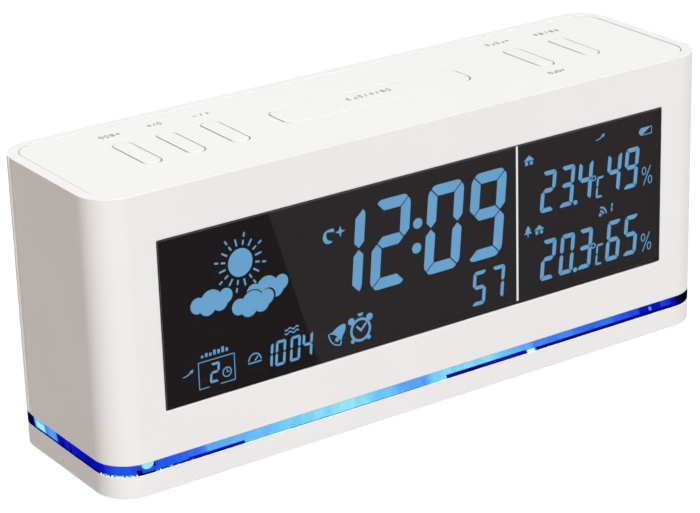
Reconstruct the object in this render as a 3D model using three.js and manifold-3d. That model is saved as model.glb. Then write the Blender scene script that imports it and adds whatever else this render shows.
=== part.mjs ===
// A desk weather station: a white box with a display window, five oblong keys and a wide bar on top,
// a clear glowing band near the bottom, and a shallow base tray on four rubber feet.
// Millimetres, +Z up, the front faces -Y, and the origin is on the floor under the middle of the body.
import * as THREE from 'three';
import { mergeVertices } from 'three/addons/utils/BufferGeometryUtils.js';
import Module from 'manifold-3d';

const wasm = await Module();
wasm.setup();

// Body, from the underside of the base tray to the rim
const bodyWidth = 190;
const bodyDepth = 52;
const bodyHeight = 78.6;
const cornerRadius = 9.5;
const wall = 2.4;
const floorThickness = 2;
const fit = 0.3;
const weld = 0.5;
const rearCoverDepth = 8;
const lipThickness = 1.2;
const lipReach = 3;
const lipEndRoom = 2;
const lipRoot = 2.5;

// Base tray, light guide and feet
const footStand = 0.8;
const footDiameter = 10;
const footRecess = 0.8;
const footInset = 10;
const trayHeight = 5.8;
const trayChamfer = 0.6;
const guideHeight = 2.9;
const guideWidth = 5;

// Rim and inset top panel
const rimWidth = 3;
const rimFillet = 0.8;
const panelThickness = 2;
const panelRecess = 0.1;
const panelLedge = 2;
const panelLedgeThickness = 1.5;

// Window, lens and display
const windowSide = 15.8;
const windowAbove = 12.8;
const windowBelow = 12.3;
const lensGap = 0.2;
const lensRecess = 0.4;
const lensThickness = 1.5;
const lensLedgeSide = 2.6;
const lensLedgeTop = 1.9;
const glassSideReach = 1.4;
const glassTopReach = 4.5;
const glassThickness = 2.2;
const glassLedge = 1;
const connectorHeight = 2.4;
const frameWall = 2;
const frameDepth = 8.4;
const backlightThickness = 3;
const boardThickness = 1.6;
const boardOverhang = 1;

// Keys
const keyWidth = 4.7;
const keyLength = 18.5;
const keyRowY = 0.5;
const barWidth = 58.3;
const barLength = 11.7;
const barCornerRadius = 3.2;
const keyProud = 0.1;
const keyGap = 0.45;
const keyEdge = 0.3;
const keyFlange = 1;
const keyFlangeThickness = 1.1;
const keyTravel = 0.4;
const modeKeyInset = 26.7;
const plusKeyInset = 39.3;
const minusKeyInset = 52.3;
const barOffset = 2.3;
const historyKeyInset = 40.7;
const rangeKeyInset = 25;
const switchSize = 6;
const switchHeight = 3.5;
const plungerDiameter = 3.2;
const plungerSunk = 1.1;
const plungerLength = 2.1;
const stemDiameter = 4;
const stemLength = 1.1;
const pressGap = 0.1;
const keyBoardThickness = 1.2;
const keyBoardEndRoom = 0.6;
const keyBoardRoom = 1.2;
const bossInset = 2.4;
const stakeEnd = 0.6;
const ribbonSideRoom = 2;
const ribbonWidth = 20;
const ribbonThickness = 0.3;
const ribbonDrop = 10;
const ribbonReach = 5;
const ribbonBend = 3;
const bossDiameter = 3.6;
const stakeDiameter = 1.8;

// Screws
const screwDiameter = 3;
const screwHeadDiameter = 5.6;
const screwHeadHeight = 2;
const screwLength = 11;
const screwSlotWidth = 0.9;
const screwSlotDepth = 1;
const screwPlay = 0.15;
const postDiameter = 6.6;
const tubeDiameter = 7.6;
const rearScrewInset = 10.8;
const rearScrewEnds = 5.5;
const rearPostShort = 12.3;
const screwWeb = 2;
const baseScrewInset = 45;
const baseScrewY = 10;
const baseBossHeight = 7.5;
const baseWebBottom = 3;

// Cells, battery bay and door
const cellDiameter = 14.5;
const cellLength = 50.5;
const cellNubDiameter = 5.5;
const cellNubLength = 1;
const cellPitch = 15;
const cellInset = 13;
const cellCount = 3;
const springRoom = 6.5;
const contactThickness = 0.4;
const contactRoom = 1.2;
const contactSize = 11;
const bayWall = 1.5;
const bayHookRoom = 3.6;
const cellSlack = 0.85;
const cradleX = 10;
const cradleThickness = 2;
const doorThickness = 1.6;
const doorLedge = 1.2;
const hookX = 20;
const hookWidth = 7;
const hookGap = 0.6;
const hookThickness = 1.2;
const hookReach = 2.5;
const hookArmBottom = 1.6;
const hookArmHeight = 1.6;
const gripWidth = 14;
const gripDepth = 0.7;
const gripHeight = 1;
const gripPitch = 2;
const gripTop = 4;
const gripCount = 4;

// Battery springs
const springWire = 0.7;
const springDiameter = 8;
const springCurls = 5;
const springSteps = 8;
const springSides = 5;

// Base electronics
const lightBoardInset = 3;
const lightBoardThickness = 1;
const lightBoardStand = 1.8;
const lightBoardPostInset = 16;
const ledEndRoom = 10;
const ledInset = 2;
const reflectorInset = 1;
const ledSize = 3;
const ledHeight = 1.6;
const ledCount = 6;
const reflectorThickness = 0.4;

// Power socket, buzzer, sensor and antenna behind the rear wall
const socketInset = 35;
const socketZ = 24;
const socketWidth = 9;
const socketHeight = 11;
const socketLength = 12.7;
const socketNoseDiameter = 7.8;
const socketNoseLength = 2.1;
const socketBore = 5.6;
const socketBoreDepth = 9.5;
const socketPin = 2.1;
const socketPinInset = 1;
const buzzerInset = 35;
const buzzerZ = 52;
const buzzerDiameter = 12;
const buzzerHeight = 6.5;
const soundHole = 1.5;
const soundHoleCircle = 3.6;
const soundHoleCount = 6;
const buzzerRingHeight = 4;
const holderWall = 1;
const shelfDepth = 10;
const sensorInset = 35;
const sensorZ = 25;
const sensorBoardWidth = 22;
const sensorBoardHeight = 12;
const sensorBoardThickness = 1;
const sensorChipSize = 3;
const sensorStand = 3;
const sensorPostDiameter = 3;
const ventCount = 5;
const ventLength = 14;
const ventHeight = 1.4;
const ventPitch = 3;
const antennaInset = 12;
const antennaZ = 58;
const antennaLength = 42;
const antennaDiameter = 8;
const windingDiameter = 9.6;
const windingLength = 18;
const antennaRibThickness = 2;
const antennaRibInset = 5;

// Chips and capacitors on the main board
const processorSize = 24;
const processorRise = 1.8;
const receiverWidth = 22;
const receiverHeight = 16;
const receiverRise = 3;
const receiverInset = 25;
const receiverDrop = 6;
const crystalWidth = 12;
const crystalHeight = 8;
const crystalRise = 4;
const crystalInset = 16;
const crystalDrop = 16;
const tallCapacitor = 8;
const tallCapacitorRise = 9;
const tallCapacitorInset = 32;
const shortCapacitor = 6;
const shortCapacitorRise = 7;
const shortCapacitorInset = 44;
const capacitorDrop = 4;

// Facets: sides of small, ordinary and broad round shapes, and steps of rounded corners
const fineSides = 8;
const roundSides = 12;
const broadSides = 18;
const cornerSteps = 4;
const keyCornerSteps = 3;

// Levels, faces and places that follow from the sizes above
const frontY = -bodyDepth / 2;
const rearY = bodyDepth / 2;
const leftEnd = -bodyWidth / 2;
const rightEnd = bodyWidth / 2;
const partingLineY = rearY - rearCoverDepth;
const footX = bodyWidth / 2 - footInset;
const footY = bodyDepth / 2 - footInset;
const trayBottom = footStand;
const guideBottom = trayBottom + trayHeight;
const housingBottom = guideBottom + guideHeight;
const floorTop = housingBottom + floorThickness;
const rimTop = trayBottom + bodyHeight;
const panelTop = rimTop - panelRecess;
const panelBottom = panelTop - panelThickness;
const ledgeBottom = panelBottom - panelLedgeThickness;
const windowWidth = bodyWidth - 2 * windowSide;
const windowBottom = housingBottom + windowBelow;
const windowHeight = rimTop - windowAbove - windowBottom;
const windowMiddleZ = windowBottom + windowHeight / 2;
const glassWidth = windowWidth - 2 * lensLedgeSide + 2 * glassSideReach;
const glassHeight = windowHeight - 2 * lensLedgeTop + 2 * glassTopReach;
const wallInnerFront = frontY + wall;
const wallInnerRear = rearY - wall;
const lensFront = frontY + lensRecess;
const lensBack = lensFront + lensThickness;
const displayFront = wallInnerFront + fit;
const frameBack = displayFront + frameDepth;
const boardFront = frameBack + fit / 2;
const boardBack = boardFront + boardThickness;
const keyTop = panelTop + keyProud;
const keyColumns = [
  { name: 'mode_key', x: leftEnd + modeKeyInset },
  { name: 'plus_key', x: leftEnd + plusKeyInset },
  { name: 'minus_key', x: leftEnd + minusKeyInset },
  { name: 'snooze_bar', x: barOffset, wide: true },
  { name: 'history_key', x: rightEnd - historyKeyInset },
  { name: 'range_key', x: rightEnd - rangeKeyInset },
];
const flangeTop = panelBottom - fit;
const flangeBottom = flangeTop - keyFlangeThickness;
const stemBottom = flangeBottom - stemLength;
const plungerTop = stemBottom - pressGap;
const switchTop = plungerTop - plungerLength + plungerSunk;
const keyBoardTop = switchTop - switchHeight;
const keyBoardBottom = keyBoardTop - keyBoardThickness;
const bayLength = cellLength + springRoom + contactRoom;
const bayMiddleZ = windowMiddleZ;
const apertureHeight = cellPitch * (cellCount - 1) + cellDiameter + 2 * cellSlack;
const doorRecessWidth = bayLength + 2 * doorLedge;
const doorRecessHeight = apertureHeight + 2 * doorLedge;
const doorWidth = doorRecessWidth - 2 * fit;
const doorHeight = doorRecessHeight - 2 * fit;
const doorInner = rearY - doorThickness;
const bayBottom = bayMiddleZ - apertureHeight / 2 - bayHookRoom;
const bayTop = bayMiddleZ + apertureHeight / 2;
const cellY = rearY - cellInset;
const bayBack = cellY - cellDiameter / 2 - fit;
const antennaX = (bayLength / 2 + bayWall + rightEnd - wall) / 2;
const ribbonX = processorSize / 2 + ribbonSideRoom + ribbonWidth / 2;
const antennaY = rearY - antennaInset;
const socketX = rightEnd - socketInset;
const buzzerX = leftEnd + buzzerInset;
const sensorX = leftEnd + sensorInset;
const baseScrewX = rightEnd - baseScrewInset;
const rearScrewX = bodyWidth / 2 - rearScrewInset;
const rearScrewLow = floorTop + rearScrewEnds;
const rearScrewHigh = ledgeBottom - rearScrewEnds;
const rearPostEnd = rearY - rearPostShort;
const keyBoardWidth = 2 * (rearScrewX - postDiameter / 2 - keyBoardEndRoom);
const keyBoardFront = boardBack + keyBoardRoom;
const keyBoardBack = bayBack - bayWall - keyBoardRoom / 2;
const outerBossX = keyBoardWidth / 2 - bossInset;
const bossY = keyBoardFront + bossInset;
const bossLeftOfBar = (leftEnd + minusKeyInset + keyWidth / 2 + barOffset - barWidth / 2) / 2;
const bossRightOfBar = (rightEnd - historyKeyInset - keyWidth / 2 + barOffset + barWidth / 2) / 2;
const bossColumns = [-outerBossX, bossLeftOfBar, bossRightOfBar, outerBossX];
const keyBoardBosses = bossColumns.map((x) => [x, bossY]);
const lightBoardWidth = bodyWidth - 2 * guideWidth - 2 * lightBoardInset;
const lightBoardDepth = bodyDepth - 2 * guideWidth - 2 * lightBoardInset;
const lightBoardPostX = lightBoardWidth / 2 - lightBoardPostInset;
const lightBoardPostY = lightBoardDepth / 2 - lightBoardPostInset / 2;
const trayFloorTop = trayBottom + floorThickness;
const lightBoardBottom = trayFloorTop + lightBoardStand;

// Finishes
const finishes = {
  white: new THREE.MeshStandardMaterial({ color: 0xeeece6, roughness: 0.35, metalness: 0 }),
  key: new THREE.MeshStandardMaterial({ color: 0xf2f1ee, roughness: 0.4, metalness: 0 }),
  lens: new THREE.MeshStandardMaterial({ color: 0x1d1a1c, roughness: 0.08, metalness: 0 }),
  glass: new THREE.MeshStandardMaterial({ color: 0x262326, roughness: 0.2, metalness: 0 }),
  guide: new THREE.MeshStandardMaterial({ color: 0x2a6fe0, roughness: 0.1, metalness: 0 }),
  rubber: new THREE.MeshStandardMaterial({ color: 0x2b2b2b, roughness: 0.9, metalness: 0 }),
  black: new THREE.MeshStandardMaterial({ color: 0x1a1a1a, roughness: 0.5, metalness: 0 }),
  board: new THREE.MeshStandardMaterial({ color: 0x1f6b3a, roughness: 0.5, metalness: 0 }),
  film: new THREE.MeshStandardMaterial({ color: 0xdfe4e8, roughness: 0.5, metalness: 0 }),
  ribbon: new THREE.MeshStandardMaterial({ color: 0xc98a3a, roughness: 0.5, metalness: 0 }),
  steel: new THREE.MeshStandardMaterial({ color: 0xb9bcc0, roughness: 0.3, metalness: 1 }),
  cell: new THREE.MeshStandardMaterial({ color: 0x33363a, roughness: 0.35, metalness: 0.3 }),
  ferrite: new THREE.MeshStandardMaterial({ color: 0x4a423c, roughness: 0.7, metalness: 0 }),
};

const station = new THREE.Group();

// Solids: three.js geometry in, joined and cut shapes out
function solid(geometry) {
  const bare = geometry.index ? geometry.toNonIndexed() : geometry.clone();
  for (const name of Object.keys(bare.attributes)) {
    if (name !== 'position') bare.deleteAttribute(name);
  }
  const merged = mergeVertices(bare, 1e-4);
  const vertProperties = new Float32Array(merged.attributes.position.array);
  const triVerts = new Uint32Array(merged.index.array);
  return new wasm.Manifold(new wasm.Mesh({ numProp: 3, vertProperties, triVerts }));
}

function geometryOf(shape) {
  const mesh = shape.getMesh();
  const geometry = new THREE.BufferGeometry();
  geometry.setAttribute('position', new THREE.BufferAttribute(new Float32Array(mesh.vertProperties), 3));
  geometry.setIndex(new THREE.BufferAttribute(new Uint32Array(mesh.triVerts), 1));
  geometry.computeVertexNormals();
  return geometry;
}

const join = (first, ...others) => others.reduce((whole, piece) => whole.add(piece), first);
const cut = (first, ...others) => others.reduce((whole, piece) => whole.subtract(piece), first);

function place(name, shape, material, parent = station) {
  const mesh = new THREE.Mesh(geometryOf(shape), material);
  mesh.name = name;
  parent.add(mesh);
  return mesh;
}

function block(x0, x1, y0, y1, z0, z1) {
  const geometry = new THREE.BoxGeometry(x1 - x0, y1 - y0, z1 - z0);
  geometry.translate((x0 + x1) / 2, (y0 + y1) / 2, (z0 + z1) / 2);
  return solid(geometry);
}

function roundedOutline(width, depth, radius) {
  const x = width / 2;
  const y = depth / 2;
  const outline = new THREE.Shape();
  outline.moveTo(x - radius, -y);
  outline.absarc(x - radius, -y + radius, radius, -Math.PI / 2, 0, false);
  outline.absarc(x - radius, y - radius, radius, 0, Math.PI / 2, false);
  outline.absarc(-x + radius, y - radius, radius, Math.PI / 2, Math.PI, false);
  outline.absarc(-x + radius, -y + radius, radius, Math.PI, Math.PI * 1.5, false);
  return outline;
}

function prism(width, depth, radius, z0, z1, curveSegments = cornerSteps) {
  const outline = roundedOutline(width, depth, radius);
  const options = { depth: z1 - z0, bevelEnabled: false, curveSegments };
  const geometry = new THREE.ExtrudeGeometry(outline, options);
  geometry.translate(0, 0, z0);
  return solid(geometry);
}

// A prism whose two ends are rounded or chamfered by edge
function softPrism(width, depth, radius, z0, z1, edge, bevelSegments, curveSegments = cornerSteps) {
  const outline = roundedOutline(width - 2 * edge, depth - 2 * edge, radius - edge);
  const geometry = new THREE.ExtrudeGeometry(outline, {
    depth: z1 - z0 - 2 * edge,
    bevelSize: edge,
    bevelThickness: edge,
    bevelSegments,
    curveSegments,
  });
  geometry.translate(0, 0, z0 + edge);
  return solid(geometry);
}

function insetPrism(inset, z0, z1) {
  return prism(bodyWidth - 2 * inset, bodyDepth - 2 * inset, cornerRadius - inset, z0, z1);
}

function upright(x, y, diameter, z0, z1, sides = roundSides) {
  const geometry = new THREE.CylinderGeometry(diameter / 2, diameter / 2, z1 - z0, sides);
  geometry.rotateX(Math.PI / 2);
  geometry.translate(x, y, (z0 + z1) / 2);
  return solid(geometry);
}

function lengthwise(x, z, diameter, y0, y1, sides = roundSides) {
  const geometry = new THREE.CylinderGeometry(diameter / 2, diameter / 2, y1 - y0, sides);
  geometry.translate(x, (y0 + y1) / 2, z);
  return solid(geometry);
}

function crosswise(y, z, diameter, x0, x1, sides = roundSides) {
  const geometry = new THREE.CylinderGeometry(diameter / 2, diameter / 2, x1 - x0, sides);
  geometry.rotateZ(Math.PI / 2);
  geometry.translate((x0 + x1) / 2, y, z);
  return solid(geometry);
}

function bodyBlank() {
  const overlap = 2 * rimFillet;
  const whole = softPrism(bodyWidth, bodyDepth, cornerRadius, housingBottom - overlap, rimTop, rimFillet, 2);
  return cut(whole, block(-bodyWidth, bodyWidth, -bodyDepth, bodyDepth, 0, housingBottom));
}

// The room inside the body: the hollow, the ledge opening and the seat of the top panel
function bodyHollow() {
  const ledgeInset = rimWidth + panelLedge;
  return join(
    insetPrism(wall, floorTop, ledgeBottom),
    insetPrism(ledgeInset, ledgeBottom - 1, panelBottom + 1),
    insetPrism(rimWidth, panelBottom, rimTop + 1),
  );
}

const inFront = (plane) => block(-bodyWidth, bodyWidth, -bodyDepth, plane, 0, 2 * bodyHeight);
const behind = (plane) => block(-bodyWidth, bodyWidth, plane, bodyDepth, 0, 2 * bodyHeight);

const rearScrewPlaces = [-1, 1].flatMap((side) => [
  [side * rearScrewX, rearScrewLow],
  [side * rearScrewX, rearScrewHigh],
]);
const baseScrewPlaces = [-1, 1].flatMap((side) => [
  [side * baseScrewX, -baseScrewY],
  [side * baseScrewX, baseScrewY],
]);

const footPlaces = [-1, 1].flatMap((side) => [
  [side * footX, -footY],
  [side * footX, footY],
]);

function windowCut(width, height, y0, y1) {
  return block(-width / 2, width / 2, y0, y1, windowMiddleZ - height / 2, windowMiddleZ + height / 2);
}

function makeFrontHousing() {
  const pilot = screwDiameter + 2 * screwPlay;
  let shell = cut(bodyBlank(), bodyHollow(), behind(partingLineY));
  for (const [x, z] of rearScrewPlaces) {
    shell = join(shell, lengthwise(x, z, postDiameter, wallInnerFront - weld, rearPostEnd));
  }
  for (const [x, y] of baseScrewPlaces) {
    shell = join(shell, upright(x, y, postDiameter, housingBottom + weld, housingBottom + baseBossHeight));
  }
  for (const [x, z] of rearScrewPlaces) {
    shell = cut(shell, lengthwise(x, z, pilot, rearPostEnd - screwLength, rearPostEnd + 1, fineSides));
  }
  for (const [x, y] of baseScrewPlaces) {
    shell = cut(shell, upright(x, y, pilot, 0, housingBottom + baseBossHeight - 1, fineSides));
  }
  const openingWidth = windowWidth - 2 * lensLedgeSide;
  const openingHeight = windowHeight - 2 * lensLedgeTop;
  const seat = windowCut(windowWidth, windowHeight, frontY - 1, lensBack);
  const opening = windowCut(openingWidth, openingHeight, frontY, wallInnerFront + 1);
  place('front_housing', cut(shell, seat, opening), finishes.white);
}

function batteryBay() {
  const half = bayLength / 2;
  const outer = half + bayWall;
  const room = block(-half, half, bayBack, rearY, bayBottom, bayTop);
  const [bottom, top] = [bayBottom - bayWall, bayTop + bayWall];
  const shell = block(-outer, outer, bayBack - bayWall, wallInnerRear + weld, bottom, top);
  return { room, shell };
}

// Ribs on the floor of the bay that carry the lowest cell and leave room for the door's hooks
function cellCradle(x) {
  const half = cradleThickness / 2;
  const lowestCell = bayMiddleZ - cellPitch * (cellCount - 1) / 2 - cellDiameter / 2;
  const ribEnd = cellY + cellDiameter / 3;
  return block(x - half, x + half, bayBack - weld, ribEnd, bayBottom - weld, lowestCell - fit);
}

// The lip on the sides and floor that slips inside the front housing
function rearLip() {
  const outer = bodyWidth / 2 - wall - fit;
  const start = partingLineY - lipReach;
  const root = partingLineY + lipRoot;
  const bottom = floorTop + fit;
  const half = bodyWidth / 2 - cornerRadius - lipEndRoom;
  return join(
    block(-outer, -outer + lipThickness, start, root, floorTop + lipEndRoom, ledgeBottom - lipEndRoom),
    block(outer - lipThickness, outer, start, root, floorTop + lipEndRoom, ledgeBottom - lipEndRoom),
    block(-half, half, start, root, bottom, bottom + lipThickness),
    block(-half, half, partingLineY + fit, root, floorTop - weld, bottom + weld),
  );
}

// The ring that holds the buzzer, the shelf under the socket, the posts of the sensor board and the
// ribs behind and under the antenna
function rearHolders() {
  const shelfTop = socketZ - socketHeight / 2 - fit;
  const root = wallInnerRear + weld;
  const rodRadius = antennaDiameter / 2;
  const ringDiameter = buzzerDiameter + 2 * fit + 2 * holderWall;
  const holders = [
    lengthwise(buzzerX, buzzerZ, ringDiameter, wallInnerRear - buzzerRingHeight, root, broadSides),
    block(socketX - socketWidth / 2, socketX + socketWidth / 2, wallInnerRear - shelfDepth, root,
      shelfTop - bayWall, shelfTop),
  ];
  for (const side of [-1, 1]) {
    const postX = sensorX + side * (sensorBoardWidth - sensorPostDiameter) / 2;
    const ribX = antennaX + side * (antennaLength / 2 - antennaRibInset);
    const ribBottom = antennaZ - rodRadius - antennaRibThickness;
    const [ribLeft, ribRight] = [ribX - antennaRibThickness / 2, ribX + antennaRibThickness / 2];
    holders.push(
      lengthwise(postX, sensorZ, sensorPostDiameter, wallInnerRear - sensorStand, root, fineSides),
      block(ribLeft, ribRight, antennaY + rodRadius + fit, root, ribBottom, antennaZ + rodRadius),
      block(ribLeft, ribRight, antennaY, root, ribBottom, antennaZ - rodRadius - fit),
    );
  }
  return holders;
}

function ventSlot(z) {
  return prism(ventLength, ventHeight, ventHeight / 2 - 0.01, 0, wall + 2, 2)
    .rotate([90, 0, 0])
    .translate([sensorX, rearY + 1, z]);
}

function soundHoles() {
  const holes = [lengthwise(buzzerX, buzzerZ, soundHole, wallInnerRear - 1, rearY + 1, fineSides)];
  for (let i = 0; i < soundHoleCount; i += 1) {
    const turn = (i / soundHoleCount) * 2 * Math.PI;
    const x = buzzerX + soundHoleCircle * Math.cos(turn);
    const z = buzzerZ + soundHoleCircle * Math.sin(turn);
    holes.push(lengthwise(x, z, soundHole, wallInnerRear - 1, rearY + 1, fineSides));
  }
  return holes;
}

function makeRearCover() {
  const bay = batteryBay();
  const halfAperture = bayLength / 2;
  const apertureBottom = bayMiddleZ - apertureHeight / 2;
  const recessBottom = bayMiddleZ - doorRecessHeight / 2;
  const recessTop = bayMiddleZ + doorRecessHeight / 2;
  const buzzerRoom = buzzerDiameter + 2 * fit;
  let shell = cut(bodyBlank(), bodyHollow(), inFront(partingLineY));
  shell = join(shell, rearLip(), bay.shell, ...rearHolders());
  for (const [x, z] of rearScrewPlaces) {
    shell = join(shell, lengthwise(x, z, tubeDiameter, rearPostEnd + fit, wallInnerRear + weld));
  }
  shell = cut(
    shell,
    bay.room,
    block(-doorRecessWidth / 2, doorRecessWidth / 2, doorInner, rearY + 1, recessBottom, recessTop),
    lengthwise(buzzerX, buzzerZ, buzzerRoom, wallInnerRear - buzzerHeight, wallInnerRear, broadSides),
    lengthwise(socketX, socketZ, socketNoseDiameter + 2 * fit, wallInnerRear - 1, rearY + 1, broadSides),
  );
  const wallBelowAperture = join(
    block(-halfAperture, halfAperture, wallInnerRear, doorInner, bayBottom, apertureBottom),
    block(-halfAperture, halfAperture, wallInnerRear, rearY, bayBottom, recessBottom),
  );
  shell = join(shell, wallBelowAperture, cellCradle(-cradleX), cellCradle(cradleX));
  for (const [x, z] of rearScrewPlaces) {
    shell = cut(
      shell,
      lengthwise(x, z, screwHeadDiameter + 2 * fit, rearPostEnd + fit + screwWeb, rearY + 1),
      lengthwise(x, z, screwDiameter + 2 * fit, rearPostEnd - 1, rearY, fineSides),
    );
  }
  for (let i = 0; i < ventCount; i += 1) {
    shell = cut(shell, ventSlot(sensorZ + (i - (ventCount - 1) / 2) * ventPitch));
  }
  place('rear_cover', cut(shell, ...soundHoles()), finishes.white);
}

function keyOutline(key, grow, z0, z1, edge = 0) {
  const width = (key.wide ? barWidth : keyWidth) + 2 * grow;
  const length = (key.wide ? barLength : keyLength) + 2 * grow;
  const radius = key.wide ? barCornerRadius + grow : width / 2 - 0.01;
  const shape = edge > 0
    ? softPrism(width, length, radius, z0, z1, edge, 1, keyCornerSteps)
    : prism(width, length, radius, z0, z1, keyCornerSteps);
  return shape.translate([key.x, keyRowY, 0]);
}

function makeTopPanel() {
  const inset = rimWidth + fit;
  let panel = insetPrism(inset, panelBottom, panelTop);
  for (const key of keyColumns) panel = cut(panel, keyOutline(key, keyGap, panelBottom - 1, panelTop + 1));
  for (const [x, y] of keyBoardBosses) {
    panel = join(
      panel,
      upright(x, y, bossDiameter, keyBoardTop, panelBottom + weld, fineSides),
      upright(x, y, stakeDiameter, keyBoardBottom - stakeEnd, keyBoardTop + weld, fineSides),
    );
  }
  place('top_panel', panel, finishes.white);
}

function makeKey(key) {
  const cap = keyOutline(key, 0, flangeBottom, keyTop, keyEdge);
  const flange = keyOutline(key, keyFlange, flangeBottom, flangeTop);
  const stem = upright(key.x, 0, stemDiameter, stemBottom, flangeBottom + weld, fineSides);
  place(key.name, join(cap, flange, stem), finishes.key);
  const plunger = upright(key.x, 0, plungerDiameter, switchTop - plungerSunk, plungerTop, fineSides);
  place(`${key.name}_plunger`, plunger, finishes.black);
}

function makeSwitch(key) {
  const half = switchSize / 2;
  const bore = plungerSunk + keyTravel + fit;
  const body = cut(
    block(key.x - half, key.x + half, -half, half, keyBoardTop, switchTop),
    upright(key.x, 0, plungerDiameter + 2 * screwPlay, switchTop - bore, switchTop + 1, fineSides),
  );
  place(`${key.name}_switch`, body, finishes.steel);
}

function makeKeyBoard() {
  const half = keyBoardWidth / 2;
  let board = block(-half, half, keyBoardFront, keyBoardBack, keyBoardBottom, keyBoardTop);
  for (const [x, y] of keyBoardBosses) {
    const hole = stakeDiameter + 2 * fit;
    board = cut(board, upright(x, y, hole, keyBoardBottom - 1, keyBoardTop + 1, fineSides));
  }
  place('key_board', board, finishes.board);
}

function makeDisplay() {
  const frameWidth = glassWidth + 2 * fit + 2 * frameWall;
  const frameHeight = glassHeight + 2 * fit + 2 * frameWall;
  const glassBack = displayFront + glassThickness;
  const glassBottom = windowMiddleZ - glassHeight / 2;
  const stripBottom = glassBottom + glassLedge;
  const stripTop = stripBottom + connectorHeight;
  const lightFront = glassBack + pressGap;
  const half = glassWidth / 2;
  const frame = cut(
    windowCut(frameWidth, frameHeight, displayFront, frameBack),
    windowCut(glassWidth + 2 * fit, glassHeight + 2 * fit, displayFront - 1, frameBack + 1),
  );
  const lens = windowCut(windowWidth - 2 * lensGap, windowHeight - 2 * lensGap, lensFront, lensBack);
  const lightBack = lightFront + backlightThickness;
  const light = block(-half, half, lightFront, lightBack, stripTop + fit, glassBottom + glassHeight);
  const strip = block(-half + 2, half - 2, glassBack, boardFront, stripBottom, stripTop);
  place('display_lens', lens, finishes.lens);
  place('display_glass', windowCut(glassWidth, glassHeight, displayFront, glassBack), finishes.glass);
  place('display_frame', frame, finishes.film);
  place('backlight_panel', light, finishes.film);
  place('elastomer_connector', strip, finishes.black);
}

function makeMainBoard() {
  const root = boardBack - weld / 2;
  const boardWidth = glassWidth + 2 * fit + 2 * frameWall;
  const half = boardWidth / 2;
  const chip = (x, drop, width, height, rise) => {
    const z = windowMiddleZ - drop;
    return block(x - width / 2, x + width / 2, root, boardBack + rise, z - height / 2, z + height / 2);
  };
  const capacitor = (inset, diameter, rise) => (
    lengthwise(inset - half, windowMiddleZ - capacitorDrop, diameter, root, boardBack + rise, fineSides)
  );
  const board = join(
    windowCut(boardWidth, glassHeight + 2 * boardOverhang, boardFront, boardBack),
    chip(0, 0, processorSize, processorSize, processorRise),
    chip(half - receiverInset, receiverDrop, receiverWidth, receiverHeight, receiverRise),
    chip(crystalInset - half, crystalDrop, crystalWidth, crystalHeight, crystalRise),
    capacitor(tallCapacitorInset, tallCapacitor, tallCapacitorRise),
    capacitor(shortCapacitorInset, shortCapacitor, shortCapacitorRise),
  );
  place('main_board', board, finishes.board);
}

// A flat ribbon that drops from the key board and turns in to the main board
function makeKeyRibbon() {
  const topZ = keyBoardBottom - pressGap;
  const bottomZ = topZ - ribbonDrop;
  const nearY = boardBack + pressGap;
  const farY = nearY + ribbonReach;
  const path = new THREE.Shape();
  path.moveTo(farY, topZ);
  path.lineTo(farY, bottomZ + ribbonBend);
  path.quadraticCurveTo(farY, bottomZ, farY - ribbonBend, bottomZ);
  path.lineTo(nearY, bottomZ);
  path.lineTo(nearY, bottomZ + ribbonThickness);
  path.lineTo(farY - ribbonBend, bottomZ + ribbonThickness);
  path.quadraticCurveTo(
    farY - ribbonThickness, bottomZ + ribbonThickness, farY - ribbonThickness, bottomZ + ribbonBend,
  );
  path.lineTo(farY - ribbonThickness, topZ);
  const options = { depth: ribbonWidth, bevelEnabled: false, curveSegments: 4 };
  const geometry = new THREE.ExtrudeGeometry(path, options);
  geometry.rotateX(Math.PI / 2);
  geometry.rotateZ(Math.PI / 2);
  geometry.translate(ribbonX - ribbonWidth / 2, 0, 0);
  place('key_ribbon', solid(geometry), finishes.ribbon);
}

function makeLightGuide() {
  place('light_guide', cut(
    insetPrism(0, guideBottom, housingBottom),
    insetPrism(guideWidth, guideBottom - 1, housingBottom + 1),
  ), finishes.guide);
}

function makeBaseTray() {
  let tray = cut(
    softPrism(bodyWidth, bodyDepth, cornerRadius, trayBottom, guideBottom + 2 * trayChamfer, trayChamfer, 2),
    block(-bodyWidth, bodyWidth, -bodyDepth, bodyDepth, guideBottom, bodyHeight),
    insetPrism(wall, trayFloorTop, guideBottom + 1),
  );
  for (const [x, y] of baseScrewPlaces) {
    tray = join(tray, upright(x, y, tubeDiameter, trayFloorTop - weld, housingBottom - fit));
  }
  for (const x of [-lightBoardPostX, 0, lightBoardPostX]) {
    for (const y of [-lightBoardPostY, lightBoardPostY]) {
      tray = join(tray, upright(x, y, bossDiameter, trayFloorTop - weld, lightBoardBottom, fineSides));
    }
  }
  for (const [x, y] of baseScrewPlaces) {
    tray = cut(
      tray,
      upright(x, y, screwHeadDiameter + 2 * fit, 0, trayBottom + baseWebBottom),
      upright(x, y, screwDiameter + 2 * fit, 0, housingBottom + 1, fineSides),
    );
  }
  for (const [x, y] of footPlaces) {
    tray = cut(tray, upright(x, y, footDiameter + 2 * fit, 0, trayBottom + footRecess, broadSides));
  }
  place('base_tray', tray, finishes.white);
}

function makeFeet() {
  footPlaces.forEach(([x, y], i) => {
    const foot = upright(x, y, footDiameter, 0, trayBottom + footRecess, broadSides);
    place(`rubber_foot_${i + 1}`, foot, finishes.rubber);
  });
}

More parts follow.
